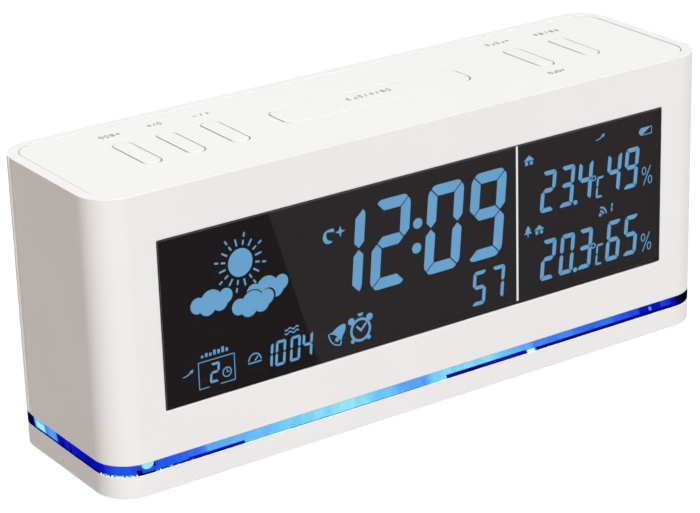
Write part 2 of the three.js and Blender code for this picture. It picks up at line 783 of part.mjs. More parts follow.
function makeLightBoard() {
  const top = lightBoardBottom + lightBoardThickness;
  const half = lightBoardDepth / 2;
  let board = block(-lightBoardWidth / 2, lightBoardWidth / 2, -half, half, lightBoardBottom, top);
  for (const [x, y] of baseScrewPlaces) {
    board = cut(board, upright(x, y, tubeDiameter + 2 * fit, lightBoardBottom - 1, top + 1));
  }
  const pitch = (lightBoardWidth - 2 * ledEndRoom) / (ledCount - 1);
  const led = block(-ledSize / 2, ledSize / 2, -ledSize / 2, ledSize / 2, top - weld, top + ledHeight);
  for (let i = 0; i < ledCount; i += 1) {
    const x = -lightBoardWidth / 2 + ledEndRoom + i * pitch;
    for (const y of [-half + ledInset, half - ledInset]) board = join(board, led.translate([x, y, 0]));
  }
  place('light_board', board, finishes.board);
}

function makeReflector() {
  const inset = guideWidth + reflectorInset;
  let sheet = insetPrism(inset, housingBottom - reflectorThickness, housingBottom);
  for (const [x, y] of baseScrewPlaces) {
    sheet = cut(sheet, upright(x, y, tubeDiameter + 2 * fit, guideBottom, housingBottom + 1));
  }
  place('reflector_sheet', sheet, finishes.film);
}

// A cross-headed screw that points up, with the underside of its head at z = 0
function screw(slotTurn) {
  const arm = screwHeadDiameter * 0.36;
  const half = screwSlotWidth / 2;
  const bottom = -screwHeadHeight - 1;
  const floor = -screwHeadHeight + screwSlotDepth;
  const body = join(
    upright(0, 0, screwHeadDiameter, -screwHeadHeight, 0),
    upright(0, 0, screwDiameter, -weld, screwLength, fineSides),
  );
  const cross = join(
    block(-arm, arm, -half, half, bottom, floor),
    block(-half, half, -arm, arm, bottom, floor),
  );
  return cut(body, cross.rotate([0, 0, slotTurn]));
}

function makeScrews() {
  const seatY = rearPostEnd + fit + screwWeb + pressGap;
  rearScrewPlaces.forEach(([x, z], i) => {
    place(`rear_screw_${i + 1}`, screw(20 * i).rotate([90, 0, 0]).translate([x, seatY, z]), finishes.steel);
  });
  const seatZ = trayBottom + baseWebBottom - pressGap;
  baseScrewPlaces.forEach(([x, y], i) => {
    place(`base_screw_${i + 1}`, screw(35 * i).translate([x, y, seatZ]), finishes.steel);
  });
}

function makeBatteryDoor() {
  const bottom = bayMiddleZ - doorHeight / 2;
  let door = block(-doorWidth / 2, doorWidth / 2, doorInner, rearY, bottom, bottom + doorHeight);
  const hookFront = wallInnerRear - hookGap;
  for (const x of [-hookX, hookX]) {
    door = join(
      door,
      block(x - hookWidth / 2, x + hookWidth / 2, hookFront - hookThickness, hookFront,
        bottom - hookReach, bottom + hookArmBottom + hookArmHeight),
      block(x - hookWidth / 2, x + hookWidth / 2, hookFront - 0.1, doorInner + 0.1,
        bottom + hookArmBottom, bottom + hookArmBottom + hookArmHeight),
    );
  }
  for (let i = 0; i < gripCount; i += 1) {
    const z = bottom + doorHeight - gripTop - i * gripPitch;
    const [low, high] = [z - gripHeight / 2, z + gripHeight / 2];
    door = cut(door, block(-gripWidth / 2, gripWidth / 2, rearY - gripDepth, rearY + 1, low, high));
  }
  place('battery_door', door, finishes.white);
}

// A wire wound as one unbroken helix along +X, with its ends on the planes x = 0 and x = length
function springSolid(length) {
  const wireRadius = springWire / 2;
  const radius = springDiameter / 2 - wireRadius;
  const steps = springCurls * springSteps;
  const rise = (length - springWire) / steps;
  const centres = [];
  const positions = [];
  for (let i = 0; i <= steps; i += 1) {
    const turn = (i / springSteps) * 2 * Math.PI;
    const along = new THREE.Vector3(1, 0, 0);
    const outward = new THREE.Vector3(0, Math.cos(turn), Math.sin(turn));
    const centre = new THREE.Vector3(wireRadius + i * rise, 0, 0).addScaledVector(outward, radius);
    centres.push(centre);
    for (let j = 0; j < springSides; j += 1) {
      const angle = (j / springSides) * 2 * Math.PI;
      const point = centre.clone()
        .addScaledVector(outward, wireRadius * Math.cos(angle))
        .addScaledVector(along, wireRadius * Math.sin(angle));
      positions.push(point.x, point.y, point.z);
    }
  }
  const index = [];
  for (let i = 0; i < steps; i += 1) {
    for (let j = 0; j < springSides; j += 1) {
      const a = i * springSides + j;
      const b = i * springSides + ((j + 1) % springSides);
      index.push(a, a + springSides, b, b, a + springSides, b + springSides);
    }
  }
  const last = steps * springSides;
  for (let j = 1; j < springSides - 1; j += 1) {
    index.push(0, j, j + 1, last, last + j + 1, last + j);
  }
  const geometry = new THREE.BufferGeometry();
  geometry.setAttribute('position', new THREE.Float32BufferAttribute(positions, 3));
  geometry.setIndex(index);
  let least = Infinity;
  for (let i = 0; i < centres.length; i += 1) {
    for (let k = i + springSteps - 1; k < centres.length; k += 1) {
      least = Math.min(least, centres[i].distanceTo(centres[k]) - springWire);
    }
  }
  return { shape: solid(geometry), least };
}

function makeCells() {
  const half = bayLength / 2;
  const spring = springSolid(springRoom - fit);
  console.log(`least gap between the curls of a battery spring: ${spring.least.toFixed(2)} mm`);
  for (let i = 0; i < cellCount; i += 1) {
    const side = i % 2 === 0 ? 1 : -1;
    const z = bayMiddleZ + (i - (cellCount - 1) / 2) * cellPitch;
    const group = new THREE.Group();
    group.position.set(0, cellY, z);
    group.rotation.z = side > 0 ? 0 : Math.PI;
    station.add(group);
    const start = -half + springRoom;
    const canEnd = start + cellLength - cellNubLength;
    const can = join(
      crosswise(0, 0, cellDiameter, start, canEnd, broadSides),
      crosswise(0, 0, cellNubDiameter, canEnd - weld, start + cellLength, fineSides),
    );
    place(`cell_${i + 1}`, can, finishes.cell, group);
    const plateEnd = half - pressGap;
    const halfPlate = contactSize / 2;
    const plate = block(plateEnd - contactThickness, plateEnd, -halfPlate, halfPlate, -halfPlate, halfPlate);
    const coil = spring.shape.translate([pressGap - half, 0, 0]);
    place(`battery_spring_${i + 1}`, coil, finishes.steel, group);
    place(`contact_plate_${i + 1}`, plate, finishes.steel, group);
  }
}

function makeSocket() {
  const back = wallInnerRear - fit;
  const noseEnd = back + socketNoseLength;
  const body = join(
    block(socketX - socketWidth / 2, socketX + socketWidth / 2, back - socketLength, back,
      socketZ - socketHeight / 2, socketZ + socketHeight / 2),
    lengthwise(socketX, socketZ, socketNoseDiameter, back - weld, noseEnd, broadSides),
  );
  const boreEnd = noseEnd - socketBoreDepth;
  const bored = cut(body, lengthwise(socketX, socketZ, socketBore, boreEnd, noseEnd + 1, broadSides));
  const pin = lengthwise(socketX, socketZ, socketPin, boreEnd - weld, noseEnd - socketPinInset, fineSides);
  place('power_socket', join(bored, pin), finishes.black);
}

function makeRearElectronics() {
  const back = wallInnerRear - fit;
  const buzzer = lengthwise(buzzerX, buzzerZ, buzzerDiameter, back - buzzerHeight, back, broadSides);
  place('buzzer', buzzer, finishes.black);
  const seat = wallInnerRear - sensorStand;
  const halfWidth = sensorBoardWidth / 2;
  const halfHeight = sensorBoardHeight / 2;
  const halfChip = sensorChipSize / 2;
  const chipFront = seat - sensorBoardThickness / 2;
  place('sensor_board', join(
    block(sensorX - halfWidth, sensorX + halfWidth, seat - sensorBoardThickness, seat,
      sensorZ - halfHeight, sensorZ + halfHeight),
    block(sensorX - halfChip, sensorX + halfChip, chipFront, seat + sensorBoardThickness,
      sensorZ - halfChip, sensorZ + halfChip),
  ), finishes.board);
  const rod = [antennaX - antennaLength / 2, antennaX + antennaLength / 2];
  const winding = [antennaX - windingLength / 2, antennaX + windingLength / 2];
  place('ferrite_antenna', join(
    crosswise(antennaY, antennaZ, antennaDiameter, ...rod),
    crosswise(antennaY, antennaZ, windingDiameter, ...winding),
  ), finishes.ferrite);
}

makeFrontHousing();
makeRearCover();
makeTopPanel();
makeLightGuide();
makeBaseTray();
makeFeet();
makeDisplay();
makeMainBoard();
makeKeyBoard();
makeKeyRibbon();
for (const key of keyColumns) {
  makeKey(key);
  makeSwitch(key);
}
makeLightBoard();
makeReflector();
makeScrews();
makeBatteryDoor();
makeCells();
makeSocket();
makeRearElectronics();

export default station;
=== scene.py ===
"""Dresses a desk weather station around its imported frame.

Sizes are millimetres, +Z is up and the front faces -Y. Meshes are written in metres, in the
frame's own place, so every piece lies where the frame has it.
"""

from __future__ import annotations

import cmath
import logging
import math
from dataclasses import dataclass, field
from enum import Enum, auto
from typing import Iterable, Sequence

import bmesh
import bpy
from mathutils import Matrix, Vector

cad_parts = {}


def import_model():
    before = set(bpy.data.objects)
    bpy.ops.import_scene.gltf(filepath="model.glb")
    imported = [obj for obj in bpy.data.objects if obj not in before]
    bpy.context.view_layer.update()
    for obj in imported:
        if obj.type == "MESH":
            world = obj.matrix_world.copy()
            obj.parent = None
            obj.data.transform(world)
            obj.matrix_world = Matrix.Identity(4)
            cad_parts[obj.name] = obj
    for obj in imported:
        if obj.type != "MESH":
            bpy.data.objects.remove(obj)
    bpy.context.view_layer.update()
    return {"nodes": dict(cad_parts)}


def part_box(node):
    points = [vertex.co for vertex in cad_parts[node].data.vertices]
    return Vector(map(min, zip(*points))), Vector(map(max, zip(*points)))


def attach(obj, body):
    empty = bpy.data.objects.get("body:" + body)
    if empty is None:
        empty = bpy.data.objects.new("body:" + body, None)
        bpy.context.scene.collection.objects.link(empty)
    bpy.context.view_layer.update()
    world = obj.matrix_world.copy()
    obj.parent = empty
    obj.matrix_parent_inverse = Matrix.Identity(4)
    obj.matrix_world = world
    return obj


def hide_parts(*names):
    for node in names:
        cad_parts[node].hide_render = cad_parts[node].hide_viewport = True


log = logging.getLogger("weather_station")

MM = 0.001
ROOT = "housing"
DOOR_HEIGHT = 48.0
DOOR_THICKNESS = 1.6
Point = tuple[float, float]
Triple = tuple[float, float, float]
Figure = tuple[Point, ...]
Piece = bpy.types.Object
Material = bpy.types.Material
Tree = bpy.types.NodeTree
Node = bpy.types.Node
Socket = bpy.types.NodeSocket
KEYS = ("mode_key", "plus_key", "minus_key", "snooze_bar", "history_key", "range_key")


# Shapes


class Facing(Enum):
    """Where an outline's two axes and its level go in the row frame."""

    UP = (0, 1, 2)
    BACK = (0, 2, 1)
    ACROSS = (2, 0, 1)

    def point(self, across: float, along: float, level: float) -> Vector:
        """Gives the row-frame point of one outline place at a level."""
        values = (across, along, level)
        return Vector([values[i] for i in self.value])


@dataclass(frozen=True)
class Box:
    """The lowest and highest corners of a frame node, in millimetres."""

    low: Vector
    high: Vector

    @classmethod
    def of(cls, *nodes: str) -> Box:
        """Measures one node, or several together.

        Args:
            nodes: Names of the frame's nodes.

        Returns:
            The box around them.
        """
        corners = [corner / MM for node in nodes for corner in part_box(node)]
        low = Vector([min(c[i] for c in corners) for i in range(3)])
        high = Vector([max(c[i] for c in corners) for i in range(3)])
        return cls(low, high)

    @property
    def centre(self) -> Vector:
        """The middle of the box."""
        return (self.low + self.high) / 2

    @property
    def size(self) -> Vector:
        """The lengths of the box's three sides."""
        return self.high - self.low


@dataclass(frozen=True)
class Outline:
    """A rounded rectangle, or a circle or pill where the radius is half a side."""

    width: float
    height: float
    radius: float = 0.0
    centre: Point = (0.0, 0.0)
    steps: int = 8

    def points(self, inset: float = 0.0) -> list[Point]:
        """Goes once round the outline, drawn in by inset.

        Args:
            inset: How far every side moves inwards, or outwards where negative.

        Returns:
            The points, anticlockwise.
        """
        radius = max(self.radius - inset, 0.0)
        x = self.width / 2 - inset - radius
        y = self.height / 2 - inset - radius
        found = []
        for corner_x, corner_y, start in ((x, -y, -90), (x, y, 0), (-x, y, 90), (-x, -y, 180)):
            for i in range(self.steps + 1):
                angle = math.radians(start + 90 * i / max(self.steps, 1))
                found.append((
                    self.centre[0] + corner_x + radius * math.cos(angle),
                    self.centre[1] + corner_y + radius * math.sin(angle),
                ))
        return found


def circle(diameter: float, centre: Point, steps: int = 8) -> Outline:
    """Gives a round outline."""
    return Outline(diameter, diameter, diameter / 2, centre, steps)


def fillet(centre: Point, radius: float, start: float, end: float, steps: int = 5) -> list[Point]:
    """Gives the points of a rounded edge in a profile of insets and levels.

    Args:
        centre: Inset and level of the arc's centre.
        radius: Radius of the edge.
        start: Angle of the first point, where 0 points inwards and 90 up the levels.
        end: Angle of the last point.
        steps: Number of stretches.

    Returns:
        The points in order.
    """
    angles = [math.radians(start + (end - start) * i / steps) for i in range(steps + 1)]
    return [(centre[0] + radius * math.cos(a), centre[1] + radius * math.sin(a)) for a in angles]


def new_object(name: str, points: Sequence[Vector], faces: Sequence[Sequence[int]]) -> Piece:
    """Makes a closed mesh with its faces pointing out.

    Args:
        name: Name of the object.
        points: Places in millimetres.
        faces: Point numbers of each face.

    Returns:
        The object, at the origin.
    """
    mesh = bpy.data.meshes.new(name)
    mesh.from_pydata([p * MM for p in points], [], faces)
    shape = bmesh.new()
    shape.from_mesh(mesh)
    bmesh.ops.remove_doubles(shape, verts=shape.verts, dist=1e-4 * MM)
    bmesh.ops.recalc_face_normals(shape, faces=shape.faces)
    shape.to_mesh(mesh)
    shape.free()
    made = bpy.data.objects.new(name, mesh)
    bpy.context.scene.collection.objects.link(made)
    return made


def loft(
    name: str, outline: Outline, profile: Sequence[Point], facing: Facing = Facing.UP, closed: bool = False
) -> Piece:
    """Joins copies of one outline, each with its own inset and level.

    Args:
        name: Name of the object.
        outline: The outline.
        profile: Inset and level of each copy.
        facing: Which way the levels run.
        closed: True where the last copy joins the first, as in a ring.

    Returns:
        The solid.
    """
    rings = [[facing.point(u, v, level) for u, v in outline.points(inset)] for inset, level in profile]
    count = len(rings[0])
    spans = len(rings) if closed else len(rings) - 1
    faces: list[tuple[int, ...]] = []
    for i in range(spans):
        here = i * count
        after = ((i + 1) % len(rings)) * count
        for j in range(count):
            k = (j + 1) % count
            faces.append((here + j, here + k, after + k, after + j))
    if not closed:
        last = (len(rings) - 1) * count
        faces.append(tuple(range(count)))
        faces.append(tuple(range(last, last + count)))
    return new_object(name, [p for ring in rings for p in ring], faces)


def bore(
    name: str, outline: Outline, deep: float, face: float, flare: float, facing: Facing = Facing.BACK,
    outward: int = 1,
) -> Piece:
    """Makes a cutter that leaves a hole with a rounded mouth.

    Args:
        name: Name of the cutter.
        outline: Outline of the hole.
        deep: Level of the hole's end.
        face: Level of the face that it opens on.
        flare: Radius of the mouth's edge.
        facing: Which way the levels run.
        outward: 1 where levels rise out of the face, and -1 where they fall.

    Returns:
        A solid from the hole's end to past the face.
    """
    mouth = fillet((-flare, face - outward * flare), flare, 0, outward * 90, 4)
    return loft(name, outline, [(0.0, deep), *mouth, (-flare, face + outward)], facing)


def block(name: str, low: Triple, high: Triple) -> Piece:
    """Makes a plain box that cuts or joins another piece."""
    width, depth = high[0] - low[0], high[1] - low[1]
    centre = ((low[0] + high[0]) / 2, (low[1] + high[1]) / 2)
    return loft(name, Outline(width, depth, 0, centre, 0), [(0, low[2]), (0, high[2])])


def bake(piece: Piece) -> None:
    """Turns what a piece's modifiers give into its plain mesh."""
    depsgraph = bpy.context.evaluated_depsgraph_get()
    mesh = bpy.data.meshes.new_from_object(piece.evaluated_get(depsgraph))
    piece.modifiers.clear()
    piece.data = mesh


def combine(piece: Piece, others: Iterable[Piece], operation: str) -> None:
    """Joins or cuts a piece with others, which are used up.

    Args:
        piece: The piece that changes.
        others: The solids that it meets.
        operation: UNION or DIFFERENCE.
    """
    spent = list(others)
    for other in spent:
        modifier = piece.modifiers.new(other.name, "BOOLEAN")
        modifier.solver = "EXACT"
        modifier.operation = operation
        modifier.object = other
    bake(piece)
    for other in spent:
        bpy.data.objects.remove(other)


def cut(piece: Piece, *others: Piece) -> Piece:
    """Cuts others out of a piece and returns it."""
    combine(piece, others, "DIFFERENCE")
    return piece


def join(piece: Piece, *others: Piece) -> Piece:
    """Joins others to a piece and returns it."""
    combine(piece, others, "UNION")
    return piece


# Geometry Nodes for what repeats


class NodeTree:
    """A geometry or shader node tree that is wired in short calls."""

    def __init__(self, tree: Tree) -> None:
        """Keeps the tree that the nodes go into."""
        self.tree = tree

    @classmethod
    def group(cls, name: str, kind: str, outputs: dict[str, str], inputs: dict[str, str]) -> NodeTree:
        """Starts a node group.

        Args:
            name: Name of the group.
            kind: Blender's name of the tree's type.
            outputs: Kind of each output, by its name.
            inputs: Kind of each input, by its name.

        Returns:
            The group with its sockets and no nodes.
        """
        graph = cls(bpy.data.node_groups.new(name, kind))
        for side, sockets in (("OUTPUT", outputs), ("INPUT", inputs)):
            for label, sort in sockets.items():
                graph.tree.interface.new_socket(label, in_out=side, socket_type=f"NodeSocket{sort}")
        return graph

    def feed(self, node: Node, inputs: dict) -> Node:
        """Sets or links a node's inputs.

        Args:
            node: The node.
            inputs: Value or source socket for each input, by its name or number.

        Returns:
            The node.
        """
        for key, value in inputs.items():
            if isinstance(value, Socket):
                self.tree.links.new(value, node.inputs[key])
            else:
                node.inputs[key].default_value = value
        return node

    def node(self, kind: str, inputs: dict | None = None, **settings: object) -> Node:
        """Adds a node.

        Args:
            kind: Blender's name of the node type.
            inputs: Value or source socket for each input.
            settings: Properties of the node.

        Returns:
            The node.
        """
        made = self.tree.nodes.new(kind)
        for name, value in settings.items():
            setattr(made, name, value)
        return self.feed(made, inputs or {})

    def math(self, operation: str, *values: object) -> Socket:
        """Adds a Math node and gives its result."""
        return self.node("ShaderNodeMath", dict(enumerate(values)), operation=operation).outputs[0]

    def between(self, value: Socket, low: object, high: object) -> Socket:
        """Gives 1 where a value lies between two others."""
        above, below = self.math("GREATER_THAN", value, low), self.math("LESS_THAN", value, high)
        return self.math("MULTIPLY", above, below)

    def ramp(self, factor: object, low: float, high: float, out: Point = (0.0, 1.0)) -> Socket:
        """Maps a value smoothly from low to high onto out."""
        inputs = {0: factor, 1: low, 2: high, 3: out[0], 4: out[1]}
        return self.node("ShaderNodeMapRange", inputs, interpolation_type="SMOOTHSTEP").outputs[0]

    def mix(self, factor: object, first: object, second: object) -> Socket:
        """Mixes two colours."""
        inputs = {0: factor, 6: first, 7: second}
        return self.node("ShaderNodeMix", inputs, data_type="RGBA").outputs[2]

    def colours(self, factor: Socket, stops: Iterable[tuple[float, Sequence[float]]]) -> Socket:
        """Maps a value of 0 to 1 onto a row of colours.

        Args:
            factor: The value.
            stops: Place and colour of each stop, in order.

        Returns:
            The colour.
        """
        made = self.node("ShaderNodeValToRGB", {0: factor})
        elements = made.color_ramp.elements
        for i, (place, colour) in enumerate(stops):
            stop = elements[i] if i < 2 else elements.new(place)
            stop.position = place
            stop.color = colour
        return made.outputs[0]


def copies_tree() -> Tree:
    """Builds the tree that sets copies of a piece in a row or round an axis.

    Returns:
        A tree with the inputs Piece, Count, Start, Step, Turn and Finish.
    """
    graph = NodeTree.group("copies_of_a_piece", "GeometryNodeTree", {"Geometry": "Geometry"}, {
        "Geometry": "Geometry", "Piece": "Object", "Count": "Int", "Start": "Vector", "Step": "Vector",
        "Turn": "Vector", "Finish": "Material",
    })
    given = graph.node("NodeGroupInput").outputs
    line = graph.node("GeometryNodeMeshLine", {
        "Count": given["Count"], "Start Location": given["Start"], "Offset": given["Step"],
    })
    index = graph.node("GeometryNodeInputIndex").outputs[0]
    turn = graph.node("ShaderNodeVectorMath", {0: given["Turn"], 3: index}, operation="SCALE")
    source = graph.node("GeometryNodeObjectInfo", {"Object": given["Piece"]})
    copies = graph.node("GeometryNodeInstanceOnPoints", {
        "Points": line.outputs[0], "Instance": source.outputs["Geometry"], "Rotation": turn.outputs[0],
    })
    close_tree(graph, copies.outputs[0], given["Finish"])
    return graph.tree


def coil_tree() -> Tree:
    """Builds the tree of a wire coil along +Z.

    Returns:
        A tree with the inputs Curls, Low Radius, High Radius, Length, Wire, Sides and Finish.
    """
    graph = NodeTree.group("wire_coil", "GeometryNodeTree", {"Geometry": "Geometry"}, {
        "Geometry": "Geometry", "Curls": "Float", "Low Radius": "Float", "High Radius": "Float",
        "Length": "Float", "Wire": "Float", "Sides": "Int", "Finish": "Material",
    })
    given = graph.node("NodeGroupInput").outputs
    spiral = graph.node("GeometryNodeCurveSpiral", {
        "Resolution": 28, "Rotations": given["Curls"], "Start Radius": given["Low Radius"],
        "End Radius": given["High Radius"], "Height": given["Length"],
    })
    section = graph.node("GeometryNodeCurvePrimitiveCircle", {
        "Resolution": given["Sides"], "Radius": given["Wire"],
    })
    wire = graph.node("GeometryNodeCurveToMesh", {
        "Curve": spiral.outputs[0], "Profile Curve": section.outputs[0], "Fill Caps": True,
    })
    close_tree(graph, wire.outputs[0], given["Finish"])
    return graph.tree


def close_tree(graph: NodeTree, shape: Socket, finish: Socket) -> None:
    """Ends a tree by making its copies real and setting their finish."""
    real = graph.node("GeometryNodeRealizeInstances", {0: shape})
    dressed = graph.node("GeometryNodeSetMaterial", {"Geometry": real.outputs[0], "Material": finish})
    graph.node("NodeGroupOutput", {0: dressed.outputs[0]})


def grow(name: str, tree: Tree, values: dict[str, object]) -> Piece:
    """Makes a plain mesh object from a Geometry Nodes tree.

    Args:
        name: Name of the object.
        tree: The tree.
        values: Value of each of the tree's inputs, by name.

    Returns:
        The object, with no modifier left on it.
    """
    made = bpy.data.objects.new(name, bpy.data.meshes.new(name))
    bpy.context.scene.collection.objects.link(made)
    modifier = made.modifiers.new(name, "NODES")
    modifier.node_group = tree
    sockets = {s.name: s.identifier for s in tree.interface.items_tree if s.in_out == "INPUT"}
    for key, value in values.items():
        modifier[sockets[key]] = value
    bake(made)
    return made


class Repeater:
    """Makes rows, rings and coils with the two trees."""

    def __init__(self) -> None:
        """Builds the trees once."""
        self.copies = copies_tree()
        self.coils = coil_tree()

    def row(
        self, name: str, piece: Piece, count: int, step: Triple = (0, 0, 0), turn: Triple = (0, 0, 0),
        start: Triple = (0, 0, 0),
    ) -> Piece:
        """Sets copies of a piece, each a step and a turn on from the last.

        Args:
            name: Name of the result.
            piece: The piece, which is used up.
            count: Number of copies.
            step: Millimetres from one copy to the next.
            turn: Degrees about each axis from one copy to the next.
            start: Place of the first copy's origin.

        Returns:
            One object with all copies.
        """
        made = grow(name, self.copies, {
            "Piece": piece, "Count": count, "Start": tuple(Vector(start) * MM),
            "Step": tuple(Vector(step) * MM), "Turn": tuple(math.radians(a) for a in turn),
        })
        bpy.data.objects.remove(piece)
        return made

    def coil(self, name: str, curls: float, radii: Point, length: float, wire: float) -> Piece:
        """Winds a wire along +Z from the origin.

        Args:
            name: Name of the result.
            curls: Number of curls.
            radii: Radius of the first and of the last curl.
            length: Height between the ends of the wire's middle.
            wire: Thickness of the wire.

        Returns:
            The coil.
        """
        return grow(name, self.coils, {
            "Curls": float(curls), "Low Radius": radii[0] * MM, "High Radius": radii[1] * MM,
            "Length": length * MM, "Wire": wire / 2 * MM, "Sides": 10,
        })


# Finishes


def linear(red: float, green: float, blue: float) -> tuple[float, float, float, float]:
    """Turns a display colour of 0 to 255 into Blender's linear one."""
    parts = [c / 255 for c in (red, green, blue)]
    return (*[c / 12.92 if c <= 0.04045 else ((c + 0.055) / 1.055) ** 2.4 for c in parts], 1.0)


def grain_group() -> Tree:
    """Builds the moulded skin of plastic, metal and rubber.

    Returns:
        A group that takes Vector, Grain and Broad sizes, and gives Height and Tone.
    """
    outputs = {"Height": "Float", "Tone": "Float"}
    inputs = {"Vector": "Vector", "Grain": "Float", "Broad": "Float"}
    graph = NodeTree.group("moulded_skin", "ShaderNodeTree", outputs, inputs)
    given = graph.node("NodeGroupInput").outputs
    near = {"Vector": given["Vector"], "Scale": given["Grain"]}
    fine = graph.node("ShaderNodeTexNoise", {**near, "Detail": 2.0})
    pits = graph.node("ShaderNodeTexVoronoi", near)
    broad = graph.node("ShaderNodeTexNoise", {**near, "Scale": given["Broad"], "Detail": 3.0})
    height = graph.math("ADD", fine.outputs[0], graph.math("MULTIPLY", pits.outputs[0], 0.3))
    graph.node("NodeGroupOutput", {"Height": height, "Tone": graph.ramp(broad.outputs[0], 0.3, 0.7)})
    return graph.tree


def facet_group() -> Tree:
    """Builds the mask of one hard-edged patch of the clear band's painted glow.

    Returns:
        A group that takes Run, Height and the four bounds, and gives Mask.
    """
    inputs = dict.fromkeys(("Run", "Height", "Start", "End", "Low", "High"), "Float")
    graph = NodeTree.group("band_facet", "ShaderNodeTree", {"Mask": "Float"}, inputs)
    given = graph.node("NodeGroupInput").outputs
    along = graph.between(given["Run"], given["Start"], given["End"])
    across = graph.between(given["Height"], given["Low"], given["High"])
    graph.node("NodeGroupOutput", {"Mask": graph.math("MULTIPLY", along, across)})
    return graph.tree


@dataclass
class Workshop:
    """The shader groups that finishes share."""

    skin: Tree = field(default_factory=grain_group)
    facet: Tree = field(default_factory=facet_group)

    def grain(self, graph: NodeTree, place: Socket, fine: float, broad: float) -> Sequence[Socket]:
        """Lays the moulded skin over a material.

        Args:
            graph: The material's tree.
            place: The object coordinates.
            fine: Size of the grain in millimetres.
            broad: Size of the mottling in millimetres.

        Returns:
            The skin's outputs, Height and Tone.
        """
        inputs = {"Vector": place, "Grain": 1 / (fine * MM), "Broad": 1 / (broad * MM)}
        return graph.node("ShaderNodeGroup", inputs, node_tree=self.skin).outputs


def new_material(name: str) -> tuple[Material, NodeTree, Node, Socket]:
    """Starts a material.

    Args:
        name: Name of the material.

    Returns:
        The material, its tree, its shader and the object coordinates.
    """
    material = bpy.data.materials.new(name)
    material.use_nodes = True
    graph = NodeTree(material.node_tree)
    shader = material.node_tree.nodes["Principled BSDF"]
    place = graph.node("ShaderNodeTexCoord").outputs["Object"]
    return material, graph, shader, place


def light_up(
    graph: NodeTree, shader: Node, colour: Socket, base: Sequence[float], rough: float = 0.5
) -> None:
    """Makes a shader give off a colour over a dull base."""
    graph.feed(shader, {
        "Emission Color": colour, "Emission Strength": 1.0, "Base Color": base, "Roughness": rough,
        "Specular IOR Level": 0.0,
    })


@dataclass(frozen=True)
class Moulded:
    """A solid finish with a fine skin: plastic, rubber, metal or film.

    Colour and shade are 0 to 255, grain and broad are millimetres, and relief is the height of
    the grain in millimetres.
    """

    name: str
    colour: Triple
    shade: Triple
    roughness: float = 0.35
    spread: float = 0.05
    metallic: float = 0.0
    grain: float = 0.5
    broad: float = 30.0
    relief: float = 0.002
    specular: float = 0.5

    def build(self, shop: Workshop) -> Material:
        """Makes the material.

        Args:
            shop: The shared groups.

        Returns:
            A finish whose colour, gloss and relief follow the skin.
        """
        material, graph, shader, place = new_material(self.name)
        skin = shop.grain(graph, place, self.grain, self.broad)
        tone, half = skin["Tone"], self.spread / 2
        bump = {"Height": skin["Height"], "Distance": self.relief * MM, "Strength": 1.0}
        graph.feed(shader, {
            "Base Color": graph.mix(tone, linear(*self.colour), linear(*self.shade)),
            "Roughness": graph.ramp(tone, 0.0, 1.0, (self.roughness - half, self.roughness + half)),
            "Normal": graph.node("ShaderNodeBump", bump).outputs[0],
            "Metallic": self.metallic,
            "Specular IOR Level": self.specular,
        })
        return material


@dataclass(frozen=True)
class ClearLens:
    """The clear acrylic over the display, with the faintest mottling of its tint."""

    name: str = "clear_lens"
    ior: float = 1.03
    roughness: float = 0.0
    broad: float = 60.0

    def build(self, shop: Workshop) -> Material:
        """Makes the material.

        Args:
            shop: The shared groups.

        Returns:
            A clear sheet that bends light very little.
        """
        material, graph, shader, place = new_material(self.name)
        tone = shop.grain(graph, place, 1.0, self.broad)["Tone"]
        graph.feed(shader, {
            "Base Color": graph.mix(tone, linear(255, 255, 255), linear(252, 252, 253)),
            "Roughness": self.roughness,
            "IOR": self.ior,
            "Transmission Weight": 1.0,
        })
        return material


@dataclass(frozen=True)
class DisplayWithPaintedReflection:
    """The unlit face of the display with a painted reflection: it gives off faint light for the lens's
    reflection, a shade lighter past a slanted line.
    """

    line: Point
    lean: float
    name: str = "display_painted_reflection"
    # Tones of the painted reflection on either side of the slanted line, and of its mottling.
    dark: Triple = (28, 24, 25)
    light: Triple = (42, 39, 40)
    cloud: Triple = (30, 26, 27)
    cloud_share: float = 0.08
    broad: float = 45.0
    soft: float = 0.12

    def build(self, shop: Workshop) -> Material:
        """Makes the material.

        Args:
            shop: The shared groups.

        Returns:
            A black film that gives off faint light, a painted reflection.
        """
        material, graph, shader, place = new_material(self.name)
        shift = {"Vector": place, "Location": (-self.line[0] * MM, 0.0, -self.line[1] * MM)}
        moved = graph.node("ShaderNodeMapping", shift).outputs[0]
        turn = {"Vector": moved, "Rotation": (0.0, math.radians(self.lean), 0.0)}
        leaned = graph.node("ShaderNodeMapping", turn).outputs[0]
        across = graph.node("ShaderNodeSeparateXYZ", {0: leaned}).outputs[0]
        side = graph.ramp(across, -self.soft * MM, self.soft * MM)
        tone = shop.grain(graph, place, 1.0, self.broad)["Tone"]
        # Painted reflection: a darker tone before the slanted line and a lighter one past it, given off as
        # light.
        even = graph.mix(side, linear(*self.dark), linear(*self.light))
        share = graph.math("MULTIPLY", tone, self.cloud_share)
        light_up(graph, shader, graph.mix(share, even, linear(*self.cloud)), linear(5, 5, 6), 0.4)
        return material


@dataclass(frozen=True)
class Lit:
    """A lit figure of the display, a little uneven as a backlight is."""

    name: str
    colour: Triple
    shade: Triple
    broad: float = 25.0

    def build(self, shop: Workshop) -> Material:
        """Makes the material.

        Args:
            shop: The shared groups.

        Returns:
            A dull surface that gives off its colour.
        """
        material, graph, shader, place = new_material(self.name)
        tone = shop.grain(graph, place, 1.0, self.broad)["Tone"]
        colour = graph.mix(tone, linear(*self.colour), linear(*self.shade))
        light_up(graph, shader, colour, linear(20, 28, 36))
        return material


@dataclass(frozen=True)
class Facet:
    """A hard-edged patch of the clear band's painted glow, brighter or darker than the light round it.

    Start and end are millimetres along the band, low and high are shares of its height, and glow
    is how much light shows in it.
    """

    start: float
    end: float
    glow: float
    low: float = -1.0
    high: float = 2.0


